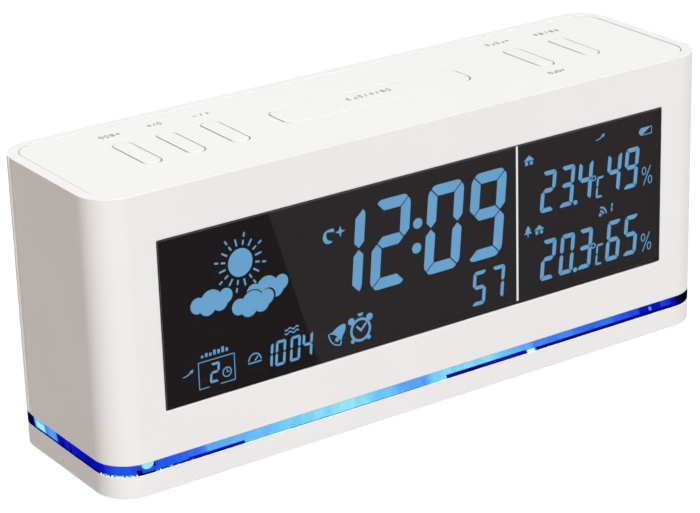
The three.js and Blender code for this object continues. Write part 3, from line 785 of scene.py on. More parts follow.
@dataclass(frozen=True)
class GlowingBand:
    """The clear band, with the blue light inside it painted on as its glow.

    Places along it are millimetres from the middle of the front, the left half below zero, and go
    on round the corners. Levels are pairs of such a place and the light there. Specks are painted
    glints: each stretch of them along its bottom has the least noise that makes one.
    """

    low: float
    high: float
    front: float
    levels: tuple[Point, ...]
    facets: tuple[Facet, ...]
    drop: float
    drop_half: float = 1.75
    drop_height: float = 0.5
    drop_glow: float = 0.94
    glint_stretches: tuple[Triple, ...] = ((-102.0, -88.5, 0.49), (-83.0, -72.0, 0.58))
    glint_size: float = 0.6
    glint_height: float = 0.17
    glint_glow: float = 1.15
    name: str = "glowing_band"
    most: float = 1.25
    slant: float = 1.1
    stops: tuple[tuple[float, Triple], ...] = (
        (0.0, (1, 1, 8)), (0.12, (3, 4, 100)), (0.28, (10, 22, 202)), (0.45, (34, 88, 238)),
        (0.62, (84, 156, 246)), (0.8, (112, 206, 247)), (1.0, (160, 240, 248)), (1.25, (240, 251, 253)),
    )

    def build(self, shop: Workshop) -> Material:
        """Makes the material.

        Args:
            shop: The shared groups.

        Returns:
            A blue band whose light changes along it and breaks at its facets.
        """
        material, graph, shader, place = new_material(self.name)
        x, y, z = graph.node("ShaderNodeSeparateXYZ", {0: place}).outputs
        above, tall = graph.math("SUBTRACT", z, self.low * MM), (self.high - self.low) * MM
        height = graph.math("DIVIDE", above, tall)
        deep = graph.math("MAXIMUM", graph.math("SUBTRACT", y, self.front * MM), 0.0)
        run = graph.math("ADD", x, graph.math("MULTIPLY", graph.math("SIGN", x), deep))
        run = graph.math("DIVIDE", run, MM)
        lean = graph.math("MULTIPLY", graph.math("SUBTRACT", height, 0.5), self.slant)
        leaned = graph.math("ADD", run, lean)
        glow = graph.math("MULTIPLY", self.level(graph, leaned), self.facing(graph, leaned, place))
        for facet in self.facets:
            mask = graph.node("ShaderNodeGroup", {
                "Run": leaned, "Height": height, "Start": facet.start, "End": facet.end,
                "Low": facet.low, "High": facet.high,
            }, node_tree=shop.facet)
            glow = self.over(graph, glow, facet.glow, mask.outputs[0])
        ahead = graph.math("LESS_THAN", y, 0.0)
        drop = graph.math("MULTIPLY", ahead, self.drop_mask(graph, run, height))
        glow = self.over(graph, glow, self.drop_glow, drop)
        # Painted glints along the band's bottom, at the front.
        glint_stretches = graph.math("MULTIPLY", ahead, self.painted_glints(graph, place, run, height))
        glow = self.over(graph, glow, self.glint_glow, glint_stretches)
        stops = [(stop / self.most, linear(*colour)) for stop, colour in self.stops]
        colour = graph.colours(graph.math("DIVIDE", glow, self.most), stops)
        light_up(graph, shader, colour, (0.0, 0.0, 0.0, 1.0), 0.25)
        return material

    def over(self, graph: NodeTree, glow: Socket, level: float, mask: Socket) -> Socket:
        """Lays a level over the light where the mask is 1."""
        return graph.math("ADD", glow, graph.math("MULTIPLY", mask, graph.math("SUBTRACT", level, glow)))

    def level(self, graph: NodeTree, run: Socket) -> Socket:
        """Gives the light along the band."""
        first, last = self.levels[0][0], self.levels[-1][0]
        along = graph.math("DIVIDE", graph.math("SUBTRACT", run, first), last - first)
        stops = [((place - first) / (last - first), (glow, glow, glow, 1.0)) for place, glow in self.levels]
        return graph.colours(along, stops)

    def facing(self, graph: NodeTree, run: Socket, place: Socket) -> Socket:
        """Gives the small steps and streaks that the light leaves in the acrylic.

        Args:
            graph: The material's tree.
            run: Place along the band, leaning with its height.
            place: The object coordinates.

        Returns:
            A share of the light near 1.
        """
        steps: Socket | float = 1.0
        for wide, least, most in ((9.0, 0.95, 1.05), (1.9, 0.985, 1.015)):
            cells = graph.node("ShaderNodeTexVoronoi", {"W": run, "Scale": 1 / wide}, voronoi_dimensions="1D")
            chance = graph.node("ShaderNodeSeparateColor", {0: cells.outputs["Color"]}).outputs[0]
            steps = graph.math("MULTIPLY", steps, graph.ramp(chance, 0.0, 1.0, (least, most)))
        tall = graph.node("ShaderNodeMapping", {"Vector": place, "Scale": (1.0, 1.0, 0.4)}).outputs[0]
        noise = graph.node("ShaderNodeTexNoise", {"Vector": tall, "Scale": 1 / (3 * MM), "Detail": 4.0})
        return graph.math("MULTIPLY", steps, graph.ramp(noise.outputs[0], 0.3, 0.7, (0.95, 1.05)))

    def drop_mask(self, graph: NodeTree, run: Socket, height: Socket) -> Socket:
        """Gives 1 inside the round spot of light that hangs from the band's top edge."""
        across = graph.math("DIVIDE", graph.math("SUBTRACT", run, self.drop), self.drop_half)
        down = graph.math("DIVIDE", graph.math("SUBTRACT", height, 1.0), self.drop_height)
        apart = graph.math("ADD", graph.math("POWER", across, 2.0), graph.math("POWER", down, 2.0))
        return graph.math("LESS_THAN", apart, 1.0)

    def painted_glints(self, graph: NodeTree, place: Socket, run: Socket, height: Socket) -> Socket:
        """Gives the painted glints along the bottom of the band's front left corner.

        Args:
            graph: The material's tree.
            place: The object coordinates.
            run: Place along the band.
            height: Share of the band's height.

        Returns:
            1 in each glint.
        """
        scale = 1 / (self.glint_size * MM)
        noise = graph.node("ShaderNodeTexNoise", {"Vector": place, "Scale": scale, "Detail": 2.0})
        chance: Socket | float = 0.0
        for start, end, least in self.glint_stretches:
            bright = graph.math("GREATER_THAN", noise.outputs[0], least)
            here = graph.math("MULTIPLY", bright, graph.between(run, start, end))
            chance = graph.math("ADD", chance, here)
        return graph.math("MULTIPLY", chance, graph.math("LESS_THAN", height, self.glint_height))


@dataclass(frozen=True)
class CircuitBoard:
    """Green solder mask with tracks and pads."""

    name: str = "circuit_board"
    grain: float = 0.4
    broad: float = 20.0
    relief: float = 0.01
    roughness: float = 0.4

    def build(self, shop: Workshop) -> Material:
        """Makes the material.

        Args:
            shop: The shared groups.

        Returns:
            A green board with lighter tracks and tinned pads.
        """
        material, graph, shader, place = new_material(self.name)
        tracks = graph.node("ShaderNodeTexBrick", {
            "Vector": place, "Scale": 1 / (14 * MM), "Mortar Size": 0.03, "Bias": -0.2,
            "Color1": linear(18, 84, 48), "Color2": linear(22, 92, 52), "Mortar": linear(40, 124, 74),
        })
        pads = graph.node("ShaderNodeTexVoronoi", {"Vector": place, "Scale": 1 / (5 * MM)})
        tinned = graph.ramp(pads.outputs[0], 0.1, 0.13, (1.0, 0.0))
        height = shop.grain(graph, place, self.grain, self.broad)["Height"]
        bump = graph.node("ShaderNodeBump", {"Height": height, "Distance": self.relief * MM})
        graph.feed(shader, {
            "Base Color": graph.mix(tinned, tracks.outputs[0], linear(196, 198, 200)),
            "Metallic": tinned,
            "Normal": bump.outputs[0],
            "Roughness": self.roughness,
        })
        return material


class Palette:
    """All finishes of the station, built once."""

    def __init__(self, finishes: Iterable[object]) -> None:
        """Builds each finish under its own name."""
        shop = Workshop()
        self.materials = {finish.name: finish.build(shop) for finish in finishes}

    def __getitem__(self, name: str) -> Material:
        """Gives a finish by its name."""
        return self.materials[name]


# Sub-assemblies


@dataclass
class Assembly:
    """A group of pieces that are made and dressed together."""

    palette: Palette
    repeater: Repeater

    def dress(
        self, piece: Piece, finish: str, slot: str, *replaced: str, body: str = ROOT, sharp: float = 32.0
    ) -> Piece:
        """Gives a piece its shading, finish and body.

        Args:
            piece: The finished shape, at the origin.
            finish: Name of its material.
            slot: Material slot of the record; not used.
            replaced: Frame nodes that it stands for.
            body: Body that it moves with.
            sharp: Angle in degrees from which an edge stays hard.

        Returns:
            The piece.
        """
        mesh = piece.data
        mesh.shade_smooth()
        mesh.set_sharp_from_angle(angle=math.radians(sharp))
        even = piece.modifiers.new("even_shading", "WEIGHTED_NORMAL")
        even.keep_sharp = True
        bake(piece)
        piece.data.materials.clear()
        piece.data.materials.append(self.palette[finish])
        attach(piece, body)
        if replaced:
            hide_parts(*replaced)
        log.info("%s: %d faces, on %s", piece.name, len(piece.data.polygons), body)
        return piece

    def four(self, name: str, node: str, piece: Piece, finish: str, facing: Facing = Facing.UP) -> None:
        """Sets four copies of a piece at the corners of a rectangle and dresses them.

        Args:
            name: Name of the result.
            node: Name of the frame nodes that it stands for, without their number.
            piece: The piece, on the origin's axis.
            finish: Name of its material and of its slot.
            facing: The way that its axis runs.
        """
        start = Box.of(f"{node}_1").centre
        step = Box.of(f"{node}_4").centre - start
        axis = facing.value.index(2)
        start[axis] = step[axis] = 0
        pair = self.repeater.row("pair", piece, 2, step=(step.x, 0, 0), start=tuple(start))
        made = self.repeater.row(name, pair, 2, step=(0, step.y, step.z))
        self.dress(made, finish, finish, *[f"{node}_{i}" for i in range(1, 5)])


@dataclass
class Shell(Assembly):
    """The front housing and the rear cover, made from one blank and parted by a fine groove."""

    corner: float = 9.5
    wall: float = 2.4
    floor: float = 2.0
    bottom_edge: float = 0.25
    rim: float = 3.0
    rim_edge: float = 0.08
    rim_inner_edge: float = 0.03
    panel_thickness: float = 2.0
    ledge: float = 2.0
    ledge_thickness: float = 1.5
    seam: float = 0.48
    seam_lead: float = 1.4
    window_edge: float = 0.3
    lens_gap: float = 0.2
    lens_ledge_side: float = 2.6
    lens_ledge_top: float = 1.9
    fit: float = 0.3
    door_ledge: float = 1.2
    bay_wall: float = 1.5
    hook_room: float = 3.6
    mouth: float = 0.25
    tube: float = 7.6
    bare_thread: float = 9.0
    well: float = 6.2
    head_room: float = 2.1
    door_corner: float = 1.2
    vents: int = 5
    vent_step: float = 3.0
    vent_mouth: float = 0.15
    sound_hole: float = 1.5
    sound_holes: int = 6
    sound_radius: float = 3.6
    sound_mouth: float = 0.12
    socket_hole: float = 8.4
    rib_place: float = 10.0
    rib_width: float = 2.0
    rib_over: float = 4.8
    cell_pitch: float = 15.0
    ridge: Triple = (5.0, 6.0, 0.6)

    def measure(self) -> None:
        """Reads the levels and faces that the frame sets."""
        self.body = Box.of("front_housing", "rear_cover")
        self.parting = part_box("front_housing")[1].y / MM
        self.panel_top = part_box("top_panel")[1].z / MM
        self.lens = Box.of("display_lens")
        self.door = Box.of("battery_door")
        self.door_plate_low = self.door.high.z - DOOR_HEIGHT

    def blank(self, name: str) -> Piece:
        """Makes the whole hollow body with its rim, ledge and floor.

        Args:
            name: Name of the copy.

        Returns:
            The body before it is parted.
        """
        top, bottom = self.body.high.z, self.body.low.z
        panel_bottom = self.panel_top - self.panel_thickness
        ledge_bottom = panel_bottom - self.ledge_thickness
        inner = self.rim - self.rim_inner_edge
        opening = self.rim + self.ledge
        profile = [
            *fillet((self.bottom_edge, bottom + self.bottom_edge), self.bottom_edge, 270, 180, 3),
            *fillet((self.rim_edge, top - self.rim_edge), self.rim_edge, 180, 90, 7),
            *fillet((inner, top - self.rim_inner_edge), self.rim_inner_edge, 90, 0, 4),
            (self.rim, panel_bottom),
            (opening, panel_bottom),
            (opening, ledge_bottom),
            (self.wall, ledge_bottom),
            (self.wall, bottom + self.floor),
        ]
        size = self.body.size
        return loft(name, Outline(size.x, size.y, self.corner, (0, 0), 20), profile)

    def seam_cutter(self) -> Piece:
        """Makes the ring that eases both shells' edges on the sides, where they meet.

        Returns:
            The cutter of both shells.
        """
        size = self.body.size
        outline = Outline(size.x, size.z + 4, self.rim_edge, (0, self.body.centre.z), 6)
        start, deep = self.parting - 0.02, self.seam
        profile = [
            (-1, start - self.seam_lead), (0, start - self.seam_lead), (deep, start), (deep, start + 0.06),
            (-1, start + 1 + deep),
        ]
        return loft("seam_cutter", outline, profile, Facing.BACK, closed=True)

    def half(self, y: float, side: int) -> Piece:
        """Makes a block that fills one side of a plane across the depth."""
        reach = self.body.size.x
        low, high = (y, reach) if side > 0 else (-reach, y)
        return block("half_cutter", (-reach, low, 0), (reach, high, 2 * reach))

    def build(self) -> None:
        """Makes both shells."""
        self.measure()
        self.front()
        self.rear()

    def front(self) -> None:
        """Makes the front housing with its window."""
        face = self.body.low.y
        middle = (0, self.lens.centre.z)
        width = self.lens.size.x + 2 * self.lens_gap
        height = self.lens.size.z + 2 * self.lens_gap
        seat = Outline(width, height, 0.3, middle, 3)
        ledges = 2 * self.lens_ledge_side, 2 * self.lens_ledge_top
        opening = Outline(width - ledges[0], height - ledges[1], 0.3, middle, 3)
        inside = face + self.wall + 1
        shell = cut(
            self.blank("front_shell"),
            self.half(self.parting, 1),
            self.seam_cutter(),
            bore("seat_cutter", seat, self.lens.high.y, face, self.window_edge, outward=-1),
            loft("opening_cutter", opening, [(0, face), (0, inside)], Facing.BACK),
        )
        self.dress(shell, "white_shell", "white_shell", "front_housing")

    def rear(self) -> None:
        """Makes the rear cover with its bay, wells, vents and holes."""
        shell = cut(self.blank("rear_shell"), self.half(self.parting, -1), self.seam_cutter())
        join(shell, self.bay_box(), *self.screw_tubes())
        cut(shell, *self.bay_cutters(), *self.screw_wells(), *self.openings())
        join(shell, *self.bay_ribs())
        self.dress(shell, "white_shell", "white_shell", "rear_cover")

    def bay(self) -> tuple[float, float, float, float]:
        """Gives the bay's half length, back, bottom and top.

        Returns:
            The four places in that order.
        """
        half = self.door.size.x / 2 + self.fit - self.door_ledge
        back = Box.of("cell_1").low.y - self.fit
        top = self.door.high.z + self.fit - self.door_ledge
        bottom = self.door_plate_low - self.fit + self.door_ledge - self.hook_room
        return half, back, bottom, top

    def bay_box(self) -> Piece:
        """Makes the walls of the battery bay as one block.

        Returns:
            The block before the bay is cut.
        """
        half, back, bottom, top = self.bay()
        wall = self.bay_wall
        inner_face = self.body.high.y - self.wall
        return block(
            "bay_box",
            (-half - wall, back - wall, bottom - wall),
            (half + wall, inner_face + 0.5, top + wall),
        )

    def screw_places(self) -> list[Point]:
        """Gives the places of the rear screws, in X and Z."""
        centres = [Box.of(f"rear_screw_{i}").centre for i in range(1, 5)]
        return [(c.x, c.z) for c in centres]

    def screw_tubes(self) -> list[Piece]:
        """Makes the tubes round the rear screws, from beside their threads to the cover's wall.

        Returns:
            One tube for each screw.
        """
        start = Box.of("rear_screw_1").low.y + self.bare_thread
        root = self.body.high.y - self.wall + 0.5
        return [
            loft(f"tube_{i}", circle(self.tube, place), [(0, start), (0, root)], Facing.BACK)
            for i, place in enumerate(self.screw_places())
        ]

    def screw_wells(self) -> list[Piece]:
        """Makes the cutters of the rear screws' wells.

        Returns:
            One cutter for each screw.
        """
        floor = Box.of("rear_screw_1").high.y - self.head_room
        return [
            bore(f"well_{i}", circle(self.well, place, 10), floor, self.body.high.y, self.mouth)
            for i, place in enumerate(self.screw_places())
        ]

    def bay_cutters(self) -> list[Piece]:
        """Makes the cutters of the bay, its mouth and the door's seat.

        Returns:
            The three cutters.
        """
        half, back, bottom, top = self.bay()
        face = self.body.high.y
        inner_face = face - self.wall
        mouth_low = self.door_plate_low - self.fit + self.door_ledge
        middle = (self.door_plate_low + self.door.high.z) / 2
        width, height = self.door.size.x + 2 * self.fit, DOOR_HEIGHT + 2 * self.fit
        seat = Outline(width, height, self.door_corner, (0, middle), 5)
        return [
            block("bay_room", (-half, back, bottom), (half, inner_face, top)),
            block("bay_mouth", (-half, back, mouth_low), (half, face, top)),
            bore("door_seat", seat, face - DOOR_THICKNESS, face, self.mouth),
        ]

    def openings(self) -> list[Piece]:
        """Makes the cutters of the vents, the sound holes and the socket's hole.

        Returns:
            The row of vents, the ring of sound holes, the one in its middle and the socket's hole.
        """
        face = self.body.high.y
        inside = face - self.wall - 1
        sensor = Box.of("sensor_board").centre
        buzzer = Box.of("buzzer").centre
        socket = Box.of("power_socket").centre
        vent = bore("vent", Outline(14.0, 1.4, 0.7, (0, 0), 5), inside, face, self.vent_mouth)
        vents = self.repeater.row(
            "vent_cutters", vent, self.vents, step=(0, 0, self.vent_step), start=(sensor.x, 0, sensor.z - 6)
        )
        around, middle = (
            bore(name, circle(self.sound_hole, place, 5), inside, face, self.sound_mouth)
            for name, place in (("sound", (self.sound_radius, 0)), ("sound_centre", (buzzer.x, buzzer.z)))
        )
        sound = self.repeater.row(
            "sound_cutters", around, self.sound_holes, turn=(0, -360 / self.sound_holes, 0),
            start=(buzzer.x, 0, buzzer.z),
        )
        plug = circle(self.socket_hole, (socket.x, socket.z), 12)
        return [vents, sound, middle, bore("socket_hole", plug, inside, face, self.mouth)]

    def bay_ribs(self) -> list[Piece]:
        """Makes the cradle ribs and the ridges between the cells.

        Returns:
            The ribs, then the ridges.
        """
        half, back, bottom, _ = self.bay()
        first, second = Box.of("cell_1"), Box.of("cell_2")
        ribs = []
        for side in (-1, 1):
            left = side * self.rib_place - self.rib_width / 2
            high = (left + self.rib_width, first.centre.y + self.rib_over, first.low.z - self.fit)
            ribs.append(block(f"cradle_{side}", (left, back - 0.5, bottom - 0.5), high))
        for i, cell in enumerate((first, second)):
            ridge = Outline(*self.ridge, (back, cell.centre.z + self.cell_pitch / 2), 3)
            ribs.append(loft(f"ridge_{i}", ridge, [(0, 1 - half), (0, half - 1)], Facing.ACROSS))
        return ribs


@dataclass
class TopPanel(Assembly):
    """The inset panel with its six keys."""

    corner: float = 6.2
    thickness: float = 2.0
    edge: float = 0.03
    gap: float = 0.45
    key_edge: float = 0.05
    spare: float = 0.05
    flange: float = 1.0
    flange_thickness: float = 1.1
    travel_room: float = 0.3
    crown: float = 0.03
    bar_corner: float = 3.2

    def build(self) -> None:
        """Makes the panel and its keys."""
        box = Box.of("top_panel")
        top = box.high.z
        width, depth = box.size.x + 2 * self.spare, box.size.y + 2 * self.spare
        outline = Outline(width, depth, self.corner + self.spare, (0, 0), 14)
        profile = [(0, top - self.thickness), *fillet((self.edge, top - self.edge), self.edge, 180, 90, 4)]
        cutters = []
        for name in KEYS:
            hole = self.key_outline(name, self.gap)
            cutters.append(bore(f"{name}_hole", hole, top - self.thickness - 1, top, self.edge, Facing.UP))
        panel = cut(loft("inset_panel", outline, profile), *cutters)
        self.dress(panel, "white_panel", "white_shell", "top_panel")
        for name in KEYS:
            self.key(name)

    def key_outline(self, name: str, extra: float = 0.0) -> Outline:
        """Gives the outline of a key's cap, let out by extra.

        Args:
            name: Name of the key.
            extra: Distance from the cap's wall.

        Returns:
            A pill or a rounded bar.
        """
        box = Box.of(name)
        width = box.size.x - 2 * self.flange + 2 * extra
        length = box.size.y - 2 * self.flange + 2 * extra
        radius = self.bar_corner + extra if width > length else width / 2
        return Outline(width, length, radius, (box.centre.x, box.centre.y), 12)

    def key(self, name: str) -> None:
        """Makes one key with its soft edge, slight crown and hidden flange.

        Args:
            name: Name of the key.
        """
        box = Box.of(name)
        top = box.high.z
        flange_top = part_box("top_panel")[1].z / MM - self.thickness - self.travel_room
        flange_bottom = flange_top - self.flange_thickness
        crown = self.crown
        profile = [
            (-self.flange, flange_bottom),
            (-self.flange, flange_top),
            (0, flange_top),
            *fillet((self.key_edge, top - crown - self.key_edge), self.key_edge, 180, 95, 4),
            (1.0, top - crown / 3),
            (1.9, top),
        ]
        cap = loft(f"{name}_cap", self.key_outline(name), profile)
        self.dress(cap, "white_keys", "white_keys", name, body=name, sharp=50)


@dataclass
class Base(Assembly):
    """The base tray, the glowing band and the feet, with the wells of the screws under them."""

    corner: float = 9.5
    edge: float = 0.1
    wall: float = 2.4
    guide_width: float = 5.0
    guide_edge: float = 0.12
    top_edge: float = 0.2
    floor: float = 2.0
    foot_gap: float = 0.3
    foot_depth: float = 0.8
    foot_edge: float = 0.35
    well: float = 6.2
    well_depth: float = 1.9
    mouth: float = 0.25

    def build(self) -> None:
        """Makes the tray, the band and the feet."""
        self.tray()
        self.band()
        self.feet()

    def tray(self) -> None:
        """Makes the shallow tray with its foot recesses and screw wells."""
        box = Box.of("base_tray")
        band = Box.of("light_guide")
        bottom, top, small = box.low.z, band.low.z, self.top_edge
        profile = [
            *fillet((self.edge, bottom + self.edge), self.edge, 270, 180, 5),
            *fillet((small, top - small), small, 180, 90, 3),
            (self.wall, top),
            (self.wall, bottom + self.floor),
        ]
        tray = loft("tray_shell", Outline(box.size.x, box.size.y, self.corner, (0, 0), 20), profile)
        cutters = []
        for i in range(1, 5):
            foot, screw = Box.of(f"rubber_foot_{i}"), Box.of(f"base_screw_{i}").centre
            ring = circle(foot.size.x + 2 * self.foot_gap, (foot.centre.x, foot.centre.y), 12)
            well = circle(self.well, (screw.x, screw.y), 10)
            for outline, depth in ((ring, self.foot_depth), (well, self.well_depth)):
                cutters.append(bore(f"well_{i}", outline, bottom + depth, bottom, self.mouth, Facing.UP, -1))
        self.dress(cut(tray, *cutters), "white_shell", "white_shell", "base_tray")

    def band(self) -> None:
        """Makes the clear band between the tray and the housing."""
        box = Box.of("light_guide")
        low, high, edge = box.low.z, box.high.z, self.guide_edge
        profile = [
            (self.guide_width, low),
            *fillet((edge, low + edge), edge, 270, 180, 2),
            *fillet((edge, high - edge), edge, 180, 90, 2),
            (self.guide_width, high),
        ]
        outline = Outline(box.size.x, box.size.y, self.corner, (0, 0), 20)
        ring = loft("clear_band", outline, profile, closed=True)
        self.dress(ring, "glowing_band", "clear_guide", "light_guide")

    def feet(self) -> None:
        """Makes the four rubber feet with a shallow dish in each."""
        box, edge = Box.of("rubber_foot_1"), self.foot_edge
        dish = [*fillet((edge, edge), edge, 180, 270, 4), (1.6, 0), (2.1, 0.2), (4.0, 0.25)]
        disc = loft("foot", circle(box.size.x, (0, 0), 12), [(0, box.high.z), *dish])
        self.four("rubber_feet", "rubber_foot", disc, "rubber")


@dataclass
class Screws(Assembly):
    """The cross-headed screws in the rear cover and in the base."""

    head: float = 5.6
    head_height: float = 2.0
    shank: float = 3.0
    shank_length: float = 11.0
    slot: float = 0.9
    slot_depth: float = 1.1
    dome: float = 0.5

    def build(self) -> None:
        """Makes the two sets of screws."""
        rear = Box.of("rear_screw_1").high.y - self.head_height
        self.four("rear_screws", "rear_screw", self.screw(Facing.BACK, rear, 1), "steel", Facing.BACK)
        base = Box.of("base_screw_1").low.z + self.head_height
        self.four("base_screws", "base_screw", self.screw(Facing.UP, base, -1), "steel")

    def screw(self, facing: Facing, seat: float, outward: int) -> Piece:
        """Makes one screw on the origin's axis.

        Args:
            facing: The way that it lies.
            seat: Level of the underside of its head.
            outward: 1 where the head is above its seat's level, and -1 where it is below.

        Returns:
            The screw with a cross in its domed head.
        """
        end = seat + outward * self.head_height
        profile = [
            ((self.head - self.shank) / 2, seat - outward * self.shank_length),
            ((self.head - self.shank) / 2, seat),
            (0, seat),
            (0, end - outward * self.dome),
            (0.35, end - outward * self.dome * 0.4),
            (0.9, end),
        ]
        piece = loft("screw", circle(self.head, (0, 0), 8), profile, facing)
        arm = self.head * 0.68
        floor, above = end - outward * self.slot_depth, end + outward
        bars = [
            loft("cross", Outline(w, h, 0.1, (0, 0), 2), [(0, floor), (0, above)], facing)
            for w, h in ((arm, self.slot), (self.slot, arm))
        ]
        return cut(piece, *bars)


@dataclass
class Power(Assembly):
    """The battery door, the cells with their contacts, and the socket for an adapter."""

    corner: float = 0.9
    edge: float = 0.22
    hook_place: float = 20.0
    hook_width: float = 7.0
    hook: float = 1.2
    hook_root: Point = (1.6, 3.2)
    grooves: int = 4
    groove_depth: float = 0.7
    shoulder: float = 1.0
    nub: float = 5.5
    wire: float = 0.7
    curls: float = 5.0
    taper: float = 0.72
    flange: float = 2.1
    nose: float = 7.8
    plug_bore: float = 5.6
    plug_depth: float = 9.5
    pin: float = 2.1

    def build(self) -> None:
        """Makes the door, the cells, the contacts and the socket."""
        self.door()
        self.cells()
        self.springs()
        self.contacts()
        self.socket()

    def door(self) -> None:
        """Makes the door with its grip grooves and hooks."""
        box = Box.of("battery_door")
        face, inner = box.high.y, box.high.y - DOOR_THICKNESS
        low = box.high.z - DOOR_HEIGHT
        outline = Outline(box.size.x, DOOR_HEIGHT, self.corner, (0, (low + box.high.z) / 2), 5)
        profile = [(0, inner), *fillet((self.edge, face - self.edge), self.edge, 180, 90, 4)]
        door = loft("door_plate", outline, profile, Facing.BACK)
        tip, end = box.low.y, box.low.y + self.hook
        foot, root = (low + part for part in self.hook_root)
        for side in (-1, 1):
            left = side * self.hook_place - self.hook_width / 2
            right = left + self.hook_width
            hook = block("hook", (left, tip, box.low.z), (right, end, root))
            join(door, hook, block("arm", (left, end - 0.1, foot), (right, inner + 0.1, root)))
        pill = Outline(14.0, 1.0, 0.5, (0, 0), 5)
        groove = bore("groove", pill, face - self.groove_depth, face, 0.15)
        start = (0, 0, box.high.z - 4)
        grooves = self.repeater.row("grooves", groove, self.grooves, step=(0, 0, -2), start=start)
        self.dress(cut(door, grooves), "white_shell", "white_shell", "battery_door", body="battery_door")

    def cells(self) -> None:
        """Makes the three cells, each with a wrapped can, a shoulder and a nub."""
        for i in (1, 2, 3):
            box = Box.of(f"cell_{i}")
            ahead = 1 if i % 2 else -1
            plus = box.high.x if ahead > 0 else box.low.x
            minus = box.low.x if ahead > 0 else box.high.x
            centre = (box.centre.y, box.centre.z)
            shoulder = plus - ahead * self.shoulder
            can = [
                (1.0, minus), (0.35, minus + ahead * 0.2), (0, minus + ahead * 0.8),
                (0, shoulder - ahead * 0.8), (0.35, shoulder - ahead * 0.2), (1.0, shoulder),
            ]
            outline = circle(box.size.z, centre, 10)
            wrap = loft(f"cell_{i}_wrap", outline, can, Facing.ACROSS)
            self.dress(wrap, "cell_wrap", "cell_can", f"cell_{i}")
            nub = [(0, shoulder - ahead * 0.4), (0, plus - ahead * 0.3), (0.3, plus)]
            tip = loft(f"cell_{i}_nub", circle(self.nub, centre, 8), nub, Facing.ACROSS)
            self.dress(tip, "steel", "steel")

    def springs(self) -> None:
        """Winds the three battery springs and sets each against its cell."""
        for i in (1, 2, 3):
            box = Box.of(f"battery_spring_{i}")
            radius = box.size.z / 2 - self.wire / 2
            length = box.size.x - self.wire
            radii = (radius, radius * self.taper)
            coil = self.repeater.coil(f"spring_{i}_wire", self.curls, radii, length, self.wire)
            ahead = 1 if i % 2 else -1
            foot = box.low.x + self.wire / 2 if ahead > 0 else box.high.x - self.wire / 2
            turn = Matrix.Rotation(math.radians(90 * ahead), 4, "Y")
            place = Matrix.Translation(Vector((foot, box.centre.y, box.centre.z)) * MM)
            coil.data.transform(place @ turn)
            self.dress(coil, "steel", "steel", f"battery_spring_{i}", sharp=60)

    def contacts(self) -> None:
        """Presses the three flat contacts, each with a raised dimple."""
        for i in (1, 2, 3):
            box = Box.of(f"contact_plate_{i}")
            inward = -1 if i % 2 else 1
            back = box.high.x if inward < 0 else box.low.x
            front = back + inward * box.size.x
            outline = Outline(box.size.y, box.size.z, 1.0, (box.centre.y, box.centre.z), 4)
            profile = [(0, back), (0, front - inward * 0.1), (0.1, front)]
            self.dress(
                loft(f"contact_{i}_plate", outline, profile, Facing.ACROSS), "steel", "steel",
                f"contact_plate_{i}",
            )

    def socket(self) -> None:
        """Makes the barrel socket with its bore and pin."""
        box = Box.of("power_socket")
        centre = (box.centre.x, box.centre.z)
        end = box.high.y
        flange = end - self.flange
        body = Outline(box.size.x, box.size.z, 0.3, centre, 3)
        case = loft("socket_body", body, [(0, box.low.y), (0, flange)], Facing.BACK)
        snout = [(0, flange - 0.5), *fillet((0.3, end - 0.3), 0.3, 180, 90, 4)]
        nose = loft("socket_nose", circle(self.nose, centre, 12), snout, Facing.BACK)
        hole = bore("socket_bore", circle(self.plug_bore, centre, 12), end - self.plug_depth, end, 0.2)
        prong = [(0, end - self.plug_depth - 0.5), *fillet((0.5, end - 1.5), 0.5, 180, 90, 4)]
        pin = loft("socket_pin", circle(self.pin, centre, 8), prong, Facing.BACK)
        self.dress(cut(join(case, nose), hole), "black_plastic", "black_plastic", "power_socket")
        self.dress(pin, "steel", "steel")


# Figures of the display and signs of the panel


def oval_points(centre: Point, radii: Point, sides: int, arc: Point = (0.0, 360.0)) -> list[Point]:
    """Gives points round an oval, or along a part of it.

    Args:
        centre: Middle of the oval.
        radii: Radii across and down.
        sides: Number of stretches.
        arc: First and last angle in degrees, clockwise from the right.

    Returns:
        The points in order.
    """
    count = sides if arc[1] - arc[0] >= 360 else sides + 1
    angles = [math.radians(arc[0] + (arc[1] - arc[0]) * i / sides) for i in range(count)]
    return [(centre[0] + radii[0] * math.cos(a), centre[1] + radii[1] * math.sin(a)) for a in angles]


